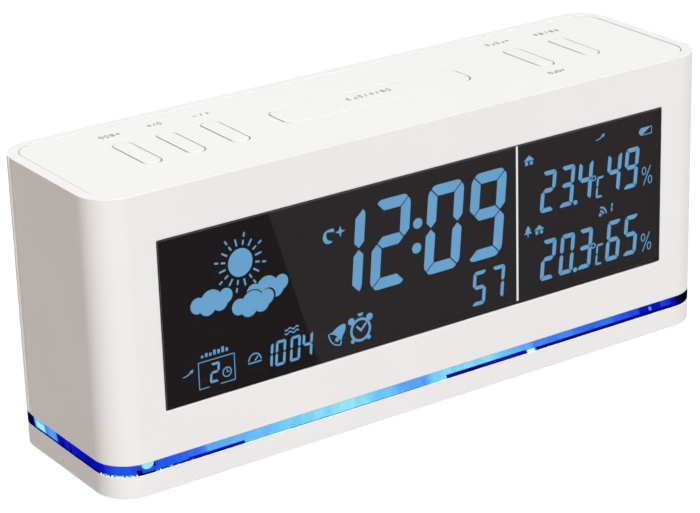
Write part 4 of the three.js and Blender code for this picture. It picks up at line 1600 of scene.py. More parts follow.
class PrintLayer:
    """Flat figures of one thickness on a face, drawn in the face's own millimetres."""

    def __init__(self, origin: Vector, right: Vector, down: Vector, thickness: float) -> None:
        """Sets the face.

        Args:
            origin: Row-frame place of the drawing's zero.
            right: Direction in which x grows.
            down: Direction in which y grows.
            thickness: Thickness of the figures.
        """
        self.origin = origin
        self.right = right
        self.down = down
        self.rise = down.cross(right).normalized() * thickness
        self.points: list[Vector] = []
        self.faces: list[tuple[int, ...]] = []

    def add(self, outline: Sequence[Point]) -> int:
        """Adds the low and high points of an outline, and gives the number of the first."""
        flat = [self.origin + self.right * x + self.down * y for x, y in outline]
        self.points += flat + [p + self.rise for p in flat]
        return len(self.points) - 2 * len(flat)

    def polygon(self, outline: Sequence[Point]) -> None:
        """Adds a filled figure with the given corners.

        Args:
            outline: The corners in order.
        """
        count, base = len(outline), self.add(outline)
        self.faces.append(tuple(range(base, base + count)))
        self.faces.append(tuple(range(base + count, base + 2 * count)))
        for i in range(count):
            k = (i + 1) % count
            self.faces.append((base + i, base + k, base + count + k, base + count + i))

    def figure(self, corners: Figure, at: Point, size: float = 1.0) -> None:
        """Adds a filled figure that is drawn round its own zero."""
        self.polygon([(at[0] + size * x, at[1] + size * y) for x, y in corners])

    def bar(self, start: Point, end: Point, width: float) -> None:
        """Adds a straight stroke."""
        line = Vector(end) - Vector(start)
        side = Vector((-line.y, line.x)).normalized() * width / 2
        corners = (Vector(start) + side, Vector(end) + side, Vector(end) - side, Vector(start) - side)
        self.polygon([tuple(c) for c in corners])

    def ray(self, centre: Point, angle: float, start: float, end: float, width: float) -> None:
        """Adds a stroke that points away from a centre."""
        way = Vector((math.cos(angle), math.sin(angle)))
        self.bar(tuple(Vector(centre) + way * start), tuple(Vector(centre) + way * end), width)

    def oval(self, centre: Point, radii: Point, sides: int = 32) -> None:
        """Adds a filled oval."""
        self.polygon(oval_points(centre, radii, sides))

    def band(self, outer: Sequence[Point], inner: Sequence[Point], closed: bool = True) -> None:
        """Adds the strip between two lines of as many points.

        Args:
            outer: Points of one line.
            inner: Points of the other.
            closed: True where the strip goes all the way round.
        """
        count = len(outer)
        base = self.add((*outer, *inner))
        top = base + 2 * count
        for i in range(count if closed else count - 1):
            k = (i + 1) % count
            self.faces.append((base + i, base + k, base + count + k, base + count + i))
            self.faces.append((top + i, top + k, top + count + k, top + count + i))
            self.faces.append((base + i, base + k, top + k, top + i))
            self.faces.append((base + count + i, base + count + k, top + count + k, top + count + i))
        for i in () if closed else (0, count - 1):
            self.faces.append((base + i, base + count + i, top + count + i, top + i))

    def ring(
        self, centre: Point, radii: Point, width: float, arc: Point = (0.0, 360.0), sides: int = 32
    ) -> None:
        """Adds a round stroke, whole or in part.

        Args:
            centre: Middle of the ring.
            radii: Outer radii across and down.
            width: Width of the stroke.
            arc: First and last angle in degrees, clockwise from the right.
            sides: Number of stretches.
        """
        inner = oval_points(centre, (radii[0] - width, radii[1] - width), sides, arc)
        self.band(oval_points(centre, radii, sides, arc), inner, arc[1] - arc[0] >= 360)

    def object(self, name: str) -> Piece:
        """Makes the mesh of all figures drawn so far."""
        return new_object(name, self.points, self.faces)


def drawn_in(outline: Sequence[Point], inset: float) -> list[Point]:
    """Draws every side of a convex figure inwards.

    Args:
        outline: Corners, clockwise as seen with y downwards.
        inset: Distance.

    Returns:
        The corners of the smaller figure.
    """
    lines = []
    count = len(outline)
    middle = Vector((sum(p[0] for p in outline) / count, sum(p[1] for p in outline) / count))
    for i in range(count):
        start, end = Vector(outline[i]), Vector(outline[(i + 1) % count])
        along = (end - start).normalized()
        inwards = Vector((-along.y, along.x))
        if inwards.dot(middle - start) < 0:
            inwards = -inwards
        lines.append((start + inwards * inset, along))
    found = []
    for i in range(count):
        (a, u), (b, v) = lines[i - 1], lines[i]
        cross = u.x * v.y - u.y * v.x
        share = ((b - a).x * v.y - (b - a).y * v.x) / cross
        found.append(tuple(a + u * share))
    return found


CLOUD_LOBES = (
    ((-0.46, -0.28), (0.0, -0.53), (0.42, -0.31)),
    ((0.42, -0.31), (1.0, -0.08), (0.75, 0.21)),
    ((0.75, 0.21), (0.5, 0.45), (0.14, 0.35)),
    ((0.14, 0.35), (-0.19, 0.535), (-0.54, 0.33)),
    ((-0.54, 0.33), (-1.0, 0.01), (-0.46, -0.28)),
)


def arc_through(start: Point, crest: Point, end: Point, sides: int) -> list[Point]:
    """Gives the points of the arc from one point over a second to a third, without the last.

    Args:
        start: Where the arc begins.
        crest: A point that it passes.
        end: Where it stops.
        sides: Number of stretches.

    Returns:
        The points.
    """
    a, b, c = (complex(*point) for point in (start, crest, end))
    w = (c - a) / (b - a)
    middle = a + (b - a) * (w - abs(w) ** 2) / (w - w.conjugate())
    turn = cmath.phase((c - middle) / (a - middle))
    passed = cmath.phase((b - middle) / (a - middle))
    if passed * turn < 0 or abs(passed) > abs(turn):
        turn -= math.copysign(2 * math.pi, turn)
    steps = [middle + (a - middle) * cmath.exp(1j * turn * i / sides) for i in range(sides)]
    return [(step.real, step.imag) for step in steps]


def cloud_points(centre: Point, size: float, sides: int = 24) -> list[Point]:
    """Gives the outline of a cloud of five round lobes, where size is half of its width."""
    points = [point for lobe in CLOUD_LOBES for point in arc_through(*lobe, sides)]
    return [(centre[0] + size * x, centre[1] + size * y) for x, y in points]


LIT_SEGMENTS = {
    "0": "abcdef", "1": "bc", "2": "abged", "3": "abgcd", "4": "fgbc", "5": "afgcd", "6": "afgedc",
    "7": "abc", "8": "abcdefg", "9": "abfgcd", "C": "afed",
}


@dataclass(frozen=True)
class Digits:
    """The seven segments of one size of digit, mitred at their corners and leaning."""

    width: float
    height: float
    stroke: float
    joint: float
    lean: float = 0.095
    waist: float = 0.478

    def segments(self) -> dict[str, list[Point]]:
        """Gives the corners of each segment.

        Returns:
            The corners by the segment's letter, from the digit's top left.
        """
        w, h, t = self.width, self.height, self.stroke
        m = self.waist * h
        low, high = m + t / 2, m - t / 2
        side = [(0, 0.86 * t), (0.07 * t, 0.56 * t)]
        mitre = (0.28 * t, 0.31 * t)
        cap = [(0.52 * t, 0.06 * t), (0.8 * t, 0)]

        def across(points: Sequence[Point]) -> list[Point]:
            """Mirrors points from the left of the digit to its right."""
            return [(w - x, y) for x, y in reversed(points)]

        def over(points: Sequence[Point]) -> list[Point]:
            """Mirrors points from the top of the digit to its bottom."""
            return [(x, h - y) for x, y in reversed(points)]

        crown = [mitre, *cap, *across(cap), *across([mitre]), (w - t, t), (t, t)]
        upper = [(t, t), (t, high), (t / 2, m), (0, high), *side, mitre]
        lower = over([(t, t), (t, h - low), (t / 2, h - m), (0, h - low), *side, mitre])
        waist = [(t / 2, m), (t, high), (w - t, high), (w - t / 2, m), (w - t, low), (t, low)]
        return {
            "a": crown, "b": across(upper), "c": across(lower), "d": over(crown),
            "e": lower, "f": upper, "g": waist,
        }

    def draw(self, layer: PrintLayer, text: str, places: Sequence[float], top: float) -> None:
        """Adds a row of digits.

        Args:
            layer: The layer that they are drawn on.
            text: The digits.
            places: X of each digit's top left corner before it leans.
            top: Y of those corners.
        """
        shapes = self.segments()
        for digit, left in zip(text, places):
            for name in LIT_SEGMENTS[digit]:
                shape = drawn_in(shapes[name], self.joint / 2)
                layer.polygon([(left + x - self.lean * y, top + y) for x, y in shape])


class SignLayer(PrintLayer):
    """The display's layer, with the signs that are drawn beside its digits."""

    trend_arrow: Figure = (
        (0, 0.0), (0.9, -0.12), (1.7, -0.42), (2.3, -0.86), (2.0, -1.05), (3.1, -1.35), (2.9, -0.3),
        (2.6, -0.6), (1.85, -0.16), (1.0, 0.12), (0.05, 0.22),
    )
    house_parts: tuple[Figure, ...] = (
        ((0, -0.8), (1.1, 0.1), (-1.1, 0.1)),
        ((-0.2, 0.25), (-0.8, 0.25), (-0.8, 0.85), (-0.2, 0.85)),
        ((0.2, 0.25), (0.8, 0.25), (0.8, 0.85), (0.2, 0.85)),
    )
    tree_parts: tuple[Figure, ...] = (
        ((0, -0.95), (0.55, -0.15), (-0.55, -0.15)),
        ((0, -0.4), (0.8, 0.4), (-0.8, 0.4)),
    )
    bell_body: Figure = (
        (2.67, -2.57), (1.67, -2.77), (0.5, -2.43), (-0.5, -1.9), (-1.5, -1.23), (-2.6, -1.0),
        (-1.5, -0.75), (-0.6, -0.35), (0.1, 0.25), (0.7, 0.95), (1.3, 1.7), (1.5, 0.9), (1.8, 0.2),
        (2.4, -0.6), (2.67, -1.5),
    )
    bell_lip: Figure = (
        (-2.7, -0.95), (-2.65, -0.2), (-2.15, 1.1), (-1.0, 2.3), (0.5, 2.85), (1.2, 2.7), (1.4, 1.7),
    )
    bell_mouth: Figure = (
        (-2.35, -0.9), (-2.3, -0.25), (-1.85, 0.9), (-0.85, 2.0), (0.45, 2.5), (0.88, 2.4), (1.05, 1.6),
    )

    def small_clock(self, centre: Point, radius: float) -> None:
        """Draws a clock face with two hands."""
        x, y = centre
        self.ring(centre, (radius, radius), 0.28, sides=24)
        self.bar((x, y + 0.1), (x, y - radius * 0.62), 0.24)
        self.bar((x - 0.1, y), (x + radius * 0.5, y), 0.24)

    def gauge(self, centre: Point, radius: float) -> None:
        """Draws a half round gauge with its needle."""
        x, y = centre
        self.ring(centre, (radius, radius), 0.34, (180, 360), 20)
        self.bar((x, y), (x + radius * 0.5, y - radius * 0.5), 0.34)
        self.bar((x - radius, y + 0.5), (x + radius, y + 0.5), 0.34)

    def wave(self, start: Point, length: float, steps: int = 24) -> None:
        """Draws a wavy stroke with two waves."""
        shares = [i / steps for i in range(steps + 1)]
        line = [(start[0] + length * s, start[1] + 0.28 * math.sin(4 * math.pi * s)) for s in shares]
        self.band(line, [(x, y + 0.36) for x, y in line], closed=False)

    def moon(self, centre: Point, radius: float) -> None:
        """Draws a crescent."""
        x, y = centre
        outer = oval_points(centre, (radius, radius), 24, (60, 330))
        inner = oval_points((x + radius * 0.42, y - radius * 0.2), (radius * 0.86,) * 2, 24, (88, 302))
        self.polygon([*outer, *reversed(inner)])

    def star(self, centre: Point, radius: float) -> None:
        """Draws a star with four points."""
        tips, dents = (oval_points(centre, (reach, reach), 8) for reach in (radius, radius * 0.34))
        self.polygon([(dents if i % 2 else tips)[i] for i in range(8)])

    def house(self, centre: Point, size: float) -> None:
        """Draws a house."""
        for part in self.house_parts:
            self.figure(part, centre, size)

    def tree(self, centre: Point, size: float) -> None:
        """Draws a fir tree."""
        for part in self.tree_parts:
            self.figure(part, centre, size)
        x, y = centre
        self.bar((x, y + size * 0.45), (x, y + size * 0.9), 0.3)

    def bell(self, centre: Point) -> None:
        """Draws a bell that swings to the right, with its open mouth and clapper.

        Args:
            centre: Middle of the sign.
        """
        x, y = centre
        self.figure(self.bell_body, centre)
        lip, mouth = ([(x + a, y + b) for a, b in line] for line in (self.bell_lip, self.bell_mouth))
        self.band(lip, mouth, closed=False)
        self.oval((x, y + 1.0), (0.62, 0.62), 16)

    def alarm_clock(self, centre: Point) -> None:
        """Draws an alarm clock with two bells, a knob and two feet.

        Args:
            centre: Middle of the sign.
        """
        x, y = centre
        self.ring(centre, (3.25, 3.25), 0.7, sides=48)
        self.figure(((-0.85, -4.5), (0.95, -4.5), (0.6, -3.72), (-0.5, -3.72)), centre)
        for side in (-1, 1):
            self.oval((x + side * 2.85, y - 2.85), (1.0, 0.95), 20)
            self.oval((x + side * 2.5, y + 2.65), (0.62, 0.6), 14)
        self.bar((x + 0.3, y + 0.42), (x - 1.25, y - 1.15), 0.6)
        self.bar((x - 0.12, y + 0.42), (x + 1.85, y - 1.5), 0.6)

    def cell_sign(self, centre: Point) -> None:
        """Draws the outline of a half full cell.

        Args:
            centre: Middle of the sign.
        """
        x, y = centre
        corners = ((x - 1.7, y - 0.95), (x + 2.1, y - 0.95), (x + 2.1, y + 0.95), (x - 1.7, y + 0.95))
        for start, end in zip(corners, (*corners[1:], corners[0])):
            self.bar(start, end, 0.22)
        self.oval((x - 1.75, y), (0.62, 0.75), 16)
        self.figure(((-1.7, -1.0), (1.75, -1.0), (-1.0, 0.7), (-1.7, 1.0)), centre)

    def percent(self, centre: Point) -> None:
        """Draws a per cent sign."""
        x, y = centre
        self.bar((x - 1.25, y + 2.65), (x + 1.2, y - 2.65), 0.32)
        for side in (-1, 1):
            self.ring((x + side * 1.1, y + side * 1.4), (0.78, 1.18), 0.3, sides=20)


@dataclass
class Display(Assembly):
    """The clear lens, the dark film behind it and the figures that light up.

    Drawing places are millimetres from the window's top left corner, x to the right and y down.
    """

    window_gap: float = 0.2
    lens_front: float = -0.13
    lens_back: float = 1.65
    lens_edge: float = 0.02
    lens_inset: float = 0.06
    gasket_front: float = 0.3
    gasket_spare: float = 0.02
    film_thickness: float = 0.08
    figure_thickness: float = 0.03
    layer_gap: float = 0.03
    shift: Point = (1.18, 0.92)
    scale: Point = (0.9938, 1.0205)
    front_cloud: Point = (26.22, 22.2)
    front_cloud_size: float = 6.2
    cloud_gap: float = 0.55
    time_digits: Digits = Digits(11.85, 24.05, 3.3, 0.32)
    second_digits: Digits = Digits(4.6, 9.6, 1.2, 0.16)
    climate_digits: Digits = Digits(5.05, 11.5, 1.42, 0.2)
    pressure_digits: Digits = Digits(3.2, 6.8, 0.85, 0.12)
    hour_digit: Digits = Digits(2.8, 5.3, 0.72, 0.1)
    channel_digit: Digits = Digits(1.7, 2.9, 0.55, 0.04)
    unit_mark: Digits = Digits(2.6, 6.0, 0.72, 0.1)

    def build(self) -> None:
        """Makes the lens, the film, the lit figures and the white line."""
        self.lens = Box.of("display_lens")
        face = Box.of("front_housing").low.y
        front, glass_back = face + self.lens_front, face + self.lens_back
        edge = fillet((self.lens_edge, front + self.lens_edge), self.lens_edge, 270, 180, 3)
        clear = self.outline(self.lens_inset, 0.2, 3)
        glass = loft("clear_lens", clear, [*edge, (0, glass_back)], Facing.BACK)
        self.dress(glass, "clear_lens", "lens", "display_lens")
        film_front = glass_back + 2 * self.layer_gap + self.figure_thickness
        sheet = [(0, film_front), (0, film_front + self.film_thickness)]
        film = loft("dark_film", self.outline(0, 0.1, 2), sheet, Facing.BACK)
        self.dress(film, "display_painted_reflection", "display_glass")
        spare = self.gasket_spare
        gasket = (spare - self.window_gap, -spare, face + self.gasket_front, film_front)
        # The gasket has the display's painted reflection too.
        self.ring("lens_gasket", gasket, "display_painted_reflection", "display_glass")
        # Grey ring on the lens's edge: painted shade of the thin gap line round the window.
        shaded_rim = (0, self.lens_inset - 0.01, front + self.lens_edge, face + 0.02)
        self.ring("lens_rim", shaded_rim, "painted_gap_shade", "lens")
        self.level = film_front - self.layer_gap
        self.figures()

    def outline(self, inset: float, radius: float, steps: int) -> Outline:
        """Gives the lens's outline, drawn in by inset."""
        size = self.lens.size
        return Outline(size.x - 2 * inset, size.z - 2 * inset, radius, (0, self.lens.centre.z), steps)

    def ring(self, name: str, sides: tuple[float, float, float, float], finish: str, slot: str) -> None:
        """Makes a thin ring along the lens's edge: its wall, grey as painted shade of the gap round the lens,
        or the gasket round it.

        Args:
            name: Name of the ring.
            sides: Its outer and inner insets from the lens's outline, and its front and rear Y.
            finish: Name of its material.
            slot: Its material slot.
        """
        outer, inner, front, back = sides
        profile = [(outer, front), (inner, front), (inner, back), (outer, back)]
        self.dress(loft(name, self.outline(0, 0.2, 3), profile, Facing.BACK, closed=True), finish, slot)

    def layer(self, back: float = 0.0, thickness: float | None = None) -> SignLayer:
        """Gives an empty layer just in front of the film, or a thicker one further back.

        Args:
            back: How far behind that place it lies.
            thickness: Thickness, where it isn't the figures' own.

        Returns:
            The layer.
        """
        left = self.lens.low.x - self.window_gap + self.shift[0]
        top = self.lens.high.z + self.window_gap - self.shift[1]
        right, down = Vector((self.scale[0], 0, 0)), Vector((0, 0, -self.scale[1]))
        origin = Vector((left, self.level, top)) + Vector((0, back, 0))
        return SignLayer(origin, right, down, thickness or self.figure_thickness)

    def figures(self) -> None:
        """Draws all figures, the rear cloud and the white line."""
        blue = self.layer()
        self.weather(blue)
        self.pressure(blue)
        self.time(blue)
        self.climate(blue)
        self.dress(blue.object("lit_figures"), "lit_blue", "display_glass", sharp=20)
        rear, grown = self.layer(), self.layer(1, 2.0)
        rear.polygon(cloud_points((30.65, 19.4), 6.15))
        grown.polygon(cloud_points(self.front_cloud, self.front_cloud_size + self.cloud_gap))
        cloud = cut(rear.object("rear_cloud"), grown.object("front_cloud"))
        self.dress(cloud, "lit_blue", "display_glass", sharp=20)
        white = self.layer()
        white.polygon([(109.25, -0.3), (109.87, -0.3), (109.87, 42.9), (109.25, 42.9)])
        self.dress(white.object("divider_line"), "lit_white", "display_glass", sharp=20)

    def weather(self, layer: SignLayer) -> None:
        """Draws the sun with its rays and the two clouds in front.

        Args:
            layer: The layer that it is drawn on.
        """
        sun, rays = (23.05, 10.8), 16
        layer.oval(sun, (3.55, 3.65), 48)
        for i in range(rays):
            spans = ((4.45, 5.7), (6.5, 7.65)) if i % 2 == 0 else ((4.45, 6.35),)
            for start, end in spans:
                layer.ray(sun, math.radians(11.25 - 90 + i * 360 / rays), start, end, 0.46)
        layer.polygon(cloud_points((14.25, 18.93), 6.1))
        layer.polygon(cloud_points(self.front_cloud, self.front_cloud_size))

    def pressure(self, layer: SignLayer) -> None:
        """Draws the trend arrow, the boxed hours and the air pressure.

        Args:
            layer: The layer that it is drawn on.
        """
        layer.figure(layer.trend_arrow, (4.85, 36.3))
        box = ((9.5, 33.8), (20.0, 33.8), (20.0, 40.8), (15.7, 40.8))
        for start, end in zip(box, box[1:]):
            layer.bar(start, end, 0.22)
        layer.bar((9.5, 33.69), (9.5, 40.91), 0.22)
        layer.bar((9.5, 40.8), (12.4, 40.8), 0.22)
        self.hour_digit.draw(layer, "2", (13.0,), 34.75)
        layer.small_clock((17.7, 38.2), 1.35)
        for i, height in enumerate((0.6, 1.0, 0.8, 1.3, 1.1, 1.5, 0.9)):
            layer.bar((10.7 + i * 1.2, 32.7), (10.7 + i * 1.2, 32.7 - height), 0.7)
        layer.gauge((26.0, 37.4), 2.0)
        self.pressure_digits.draw(layer, "1004", (28.6, 32.45, 36.9, 40.6), 34.0)
        for y in (31.6, 32.6):
            layer.wave((35.2, y), 4.2)

    def time(self, layer: SignLayer) -> None:
        """Draws the time, the seconds, the moon and star, the bell and the alarm clock.

        Args:
            layer: The layer that it is drawn on.
        """
        self.time_digits.draw(layer, "1209", (49.4, 63.6, 80.7, 94.7), 4.4)
        for dot in ((77.1, 13.45), (76.6, 20.05)):
            layer.oval(dot, (1.45, 1.42), 28)
        self.second_digits.draw(layer, "57", (94.9, 101.0), 31.2)
        layer.moon((49.5, 10.5), 1.85)
        layer.star((53.0, 9.9), 1.5)
        layer.bell((51.0, 37.45))
        layer.alarm_clock((58.35, 37.65))

    def climate(self, layer: SignLayer) -> None:
        """Draws the indoor and outdoor rows with their signs.

        Args:
            layer: The layer that it is drawn on.
        """
        layer.house((113.6, 4.6), 1.6)
        layer.figure(layer.trend_arrow, (136.3, 4.1))
        layer.cell_sign((153.9, 5.2))
        layer.tree((113.2, 24.3), 1.7)
        layer.house((117.0, 24.5), 1.55)
        for radius in (1.3, 2.3):
            layer.ring((138.1, 25.4), (radius, radius), 0.5, (-90, 0), 12)
        layer.oval((138.1, 25.4), (0.5, 0.5), 14)
        self.channel_digit.draw(layer, "1", (140.9,), 22.7)
        for y, warmth, humidity in ((8.85, "234", "49"), (27.95, "203", "65")):
            self.climate_digits.draw(layer, warmth, (118.1, 124.5, 130.75), y)
            layer.oval((129.4, y + 11.0), (0.7, 0.68), 16)
            layer.ring((135.75, y + 5.7), (0.8, 0.8), 0.32, sides=16)
            self.unit_mark.draw(layer, "C", (136.9,), y + 5.6)
            self.climate_digits.draw(layer, humidity, (140.8, 146.95), y)
            layer.percent((154.6, y + 9.0))


class Glyph(Enum):
    """The signs that the rows beside the keys are made of."""

    PLUS = auto()
    MINUS = auto()
    SLASH = auto()
    RING = auto()
    CLOCK = auto()
    CYCLE = auto()
    BARS = auto()
    RISE = auto()
    FALL = auto()
    SUN = auto()
    MOON = auto()
    WAVES = auto()
    GRID = auto()
    ARROW = auto()


@dataclass
class PanelSigns(Assembly):
    """The small grey signs printed beside the keys, one row for each."""

    ink: float = 0.02
    stroke: float = 0.3
    half: float = 1.0
    squeeze: float = 0.62
    rows: tuple[tuple[Triple, tuple[Glyph, ...]], ...] = (
        ((-67.4, 15.95, 6.0), (Glyph.CLOCK, Glyph.CYCLE, Glyph.GRID, Glyph.ARROW)),
        ((-54.1, 16.4, 4.1), (Glyph.PLUS, Glyph.SLASH, Glyph.RING)),
        ((-40.6, 15.6, 5.0), (Glyph.MINUS, Glyph.SLASH, Glyph.WAVES)),
        ((55.6, 16.2, 7.8), (Glyph.CLOCK, Glyph.BARS, Glyph.CYCLE, Glyph.BARS, Glyph.ARROW)),
        ((72.1, 15.3, 8.6), (Glyph.RISE, Glyph.GRID, Glyph.SLASH, Glyph.GRID, Glyph.FALL)),
        ((52.2, -14.2, 5.3), (Glyph.RING, Glyph.BARS, Glyph.RING, Glyph.ARROW)),
    )
    bar_row: tuple[Triple, tuple[Glyph, ...]] = (
        (2.1, 1.5, 13.8),
        (Glyph.MOON, Glyph.BARS, Glyph.CLOCK, Glyph.SLASH, Glyph.SUN, Glyph.WAVES, Glyph.GRID, Glyph.RING),
    )

    def build(self) -> None:
        """Prints a row for each key."""
        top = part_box("top_panel")[1].z / MM
        right, down = Vector((self.squeeze, 0, 0)), Vector((0, -1, 0))
        layer = PrintLayer(Vector((0, 0, top)), right, down, self.ink)
        for place, glyphs in self.rows:
            self.row(layer, place, glyphs)
        self.dress(layer.object("panel_signs"), "grey_print", "grey_print", sharp=20)
        level = Box.of("snooze_bar").high.z
        on_bar = PrintLayer(Vector((0, 0, level)), right, down, self.ink)
        self.row(on_bar, *self.bar_row)
        self.dress(on_bar.object("bar_sign"), "grey_print", "grey_print", body="snooze_bar", sharp=20)

    def row(self, layer: PrintLayer, place: Triple, glyphs: Sequence[Glyph]) -> None:
        """Sets signs in a row.

        Args:
            layer: The layer that they are printed on.
            place: X and Y of the row's middle, and its length.
            glyphs: The signs from left to right.
        """
        x, y, length = place
        reach = self.half * self.squeeze
        step = (length - 2 * reach) / (len(glyphs) - 1)
        home = layer.origin.copy()
        for i, glyph in enumerate(glyphs):
            layer.origin = home + Vector((x - length / 2 + reach + i * step, y, 0))
            self.stamp(layer, glyph)
        layer.origin = home

    def stamp(self, layer: PrintLayer, glyph: Glyph) -> None:
        """Prints one sign round the layer's zero.

        Args:
            layer: The layer that it is printed on.
            glyph: The sign.
        """
        h, t, middle = self.half, self.stroke, (0, 0)
        match glyph:
            case Glyph.PLUS:
                layer.bar((-h, 0), (h, 0), t)
                layer.bar((0, -h), (0, h), t)
            case Glyph.MINUS:
                layer.bar((-h, 0), (h, 0), t)
            case Glyph.SLASH:
                layer.bar((-h / 2, h), (h / 2, -h), t)
            case Glyph.RING:
                layer.ring(middle, (h, h), t, sides=20)
                layer.oval(middle, (0.2, 0.2), 8)
            case Glyph.CLOCK:
                layer.ring(middle, (h, h), t * 0.8, sides=20)
                layer.bar((0, 0.1), (0, -h * 0.75), t * 0.7)
                layer.bar((-0.1, 0), (h * 0.6, 0), t * 0.7)
            case Glyph.CYCLE:
                for start in (20, 200):
                    layer.ring(middle, (h, h), t, (start, start + 120), 12)
                    tip = math.radians(start + 138)
                    layer.oval((0.7 * math.cos(tip), 0.7 * math.sin(tip)), (0.3, 0.3), 8)
            case Glyph.BARS:
                for x, height in ((-0.55, 0.5), (0, 1.0), (0.55, 1.5)):
                    layer.bar((x, h), (x, h - height), t)
            case Glyph.RISE | Glyph.FALL:
                turn = 1 if glyph is Glyph.RISE else -1
                layer.polygon([(-h, 0), (0, -turn * h), (h, 0)])
                layer.bar((0, 0), (0, turn * h), t * 1.2)
            case Glyph.SUN:
                layer.oval(middle, (0.36, 0.36), 14)
                for i in range(8):
                    layer.ray(middle, i * math.pi / 4, 0.5, h + 0.1, t * 0.6)
            case Glyph.MOON:
                outer = oval_points(middle, (h, h), 18, (60, 330))
                inner = oval_points((0.32, -0.15), (0.66, 0.66), 18, (88, 302))
                layer.polygon([*outer, *reversed(inner)])
            case Glyph.WAVES:
                foot = (-0.5, 0.5)
                layer.oval(foot, (0.22, 0.22), 8)
                for radius in (0.72, 1.3):
                    layer.ring(foot, (radius, radius), t * 0.8, (-85, -5), 8)
            case Glyph.GRID:
                for i in (-0.62, 0, 0.62):
                    layer.bar((-h, i), (h, i), t * 0.6)
                    layer.bar((i, -h), (i, h), t * 0.6)
            case Glyph.ARROW:
                layer.bar((-h, 0), (h * 0.2, 0), t)
                layer.polygon([(0, -0.7), (h, 0), (0, 0.7)])


class Inner(Enum):
    """The finish of each frame node that shows as it is: finish, then its nodes."""

    FILM = ("white_film", ("display_frame", "backlight_panel", "reflector_sheet"))
    GLASS = ("dark_glass", ("display_glass",))
    BLACK = ("black_plastic", ("elastomer_connector", "buzzer", *[f"{k}_plunger" for k in KEYS]))
    BOARD = ("circuit_board", ("main_board", "key_board", "light_board", "sensor_board"))
    RIBBON = ("ribbon", ("key_ribbon",))
    STEEL = ("steel", tuple(f"{k}_switch" for k in KEYS))
    FERRITE = ("ferrite", ("ferrite_antenna",))


def dress_inner_nodes(nodes: dict[str, Piece], palette: Palette) -> None:
    """Gives the frame's own nodes inside the shells their finishes.

    Args:
        nodes: The frame's nodes.
        palette: The finishes.
    """
    for group in Inner:
        finish, names = group.value
        for name in names:
            nodes[name].data.materials.clear()
            nodes[name].data.materials.append(palette[finish])


# Studio


@dataclass(frozen=True)
class SoftLight:
    """A broad light far away, with its angles in degrees.

    The azimuth goes to the right from straight ahead of the station, and the elevation up from
    the floor.
    """

    name: str
    azimuth: float
    elevation: float
    power: float
    colour: Triple
    width: float = 26.0

    def hang(self) -> None:
        """Hangs the light over the station."""
        light = bpy.data.lights.new(self.name, "SUN")
        light.angle = math.radians(self.width)
        light.energy = self.power
        light.color = self.colour
        lamp = bpy.data.objects.new(self.name, light)
        across, up = math.radians(self.azimuth), math.radians(self.elevation)
        level = math.cos(up)
        source = Vector((math.sin(across) * level, -math.cos(across) * level, math.sin(up)))
        lamp.location = source
        lamp.rotation_euler = (-source).to_track_quat("-Z", "Y").to_euler()
        bpy.context.scene.collection.objects.link(lamp)


@dataclass(frozen=True)
class Studio:
    """The pale floor, the soft lights and the camera at the photograph's angle."""

    eye: Triple = (-362.9, -532.1, 292.8)
    target: Triple = (-6.29, 0.0, 36.35)
    roll: float = -1.75
    lens: float = 133.78
    sensor: float = 36.0
    floor_side: float = 9000.0
    floor_glow: float = 0.93
    sky: Triple = (0.13, 0.115, 0.105)
    lights: tuple[SoftLight, ...] = (
        SoftLight("key_light", -15.0, 48.5, 4.16, (0.954, 1.0, 1.012)),
        SoftLight("left_light", -70.0, 12.0, 0.42, (1.33, 1.0, 0.83)),
        SoftLight("right_light", 85.0, 12.0, 0.72, (1.2, 1.02, 1.05)),
        SoftLight("back_light", 178.0, 6.0, 1.9, (1.05, 1.0, 0.97)),
    )

    def build(self) -> None:
        """Sets the floor, the lights, the world and the camera."""
        self.floor()
        self.world()
        for light in self.lights:
            light.hang()
        self.camera()
        bpy.context.scene.view_settings.view_transform = "Standard"

    def floor(self) -> None:
        """Lays the floor, which glows faintly so that shadows on it stay light."""
        half = self.floor_side / 2
        corners = [Vector((x, y, 0)) for x, y in ((-half, -half), (half, -half), (half, half), (-half, half))]
        floor = new_object("floor", corners, [(0, 1, 2, 3)])
        finish, graph, shader, _ = new_material("pale_floor")
        graph.feed(shader, {
            "Base Color": (0.15, 0.15, 0.15, 1.0), "Emission Color": (1.0, 1.0, 1.0, 1.0),
            "Emission Strength": self.floor_glow, "Roughness": 0.9, "Specular IOR Level": 0.0,
        })
        floor.data.materials.append(finish)
        floor.visible_diffuse = False

    def world(self) -> None:
        """Lights the scene evenly from all round, in front of a plain white backdrop."""
        world = bpy.data.worlds.new("studio")
        world.use_nodes = True
        graph = NodeTree(world.node_tree)
        seen = graph.node("ShaderNodeLightPath").outputs["Is Camera Ray"]
        colour = graph.mix(seen, (*self.sky, 1.0), (1.0, 1.0, 1.0, 1.0))
        graph.tree.links.new(colour, world.node_tree.nodes["Background"].inputs["Color"])
        bpy.context.scene.world = world

    def camera(self) -> None:
        """Sets the camera where the photograph was taken from."""
        data = bpy.data.cameras.new("camera")
        data.lens = self.lens
        data.sensor_width = self.sensor
        data.clip_start = 0.02
        data.clip_end = 30.0
        camera = bpy.data.objects.new("camera", data)
        eye, target = Vector(self.eye), Vector(self.target)
        level = (target - eye).to_track_quat("-Z", "Y")
        camera.rotation_mode = "QUATERNION"
        turn = Matrix.Rotation(math.radians(self.roll), 4, "Z").to_quaternion()
        camera.rotation_quaternion = level @ turn
        camera.location = eye * MM
        bpy.context.scene.collection.objects.link(camera)
        bpy.context.scene.camera = camera


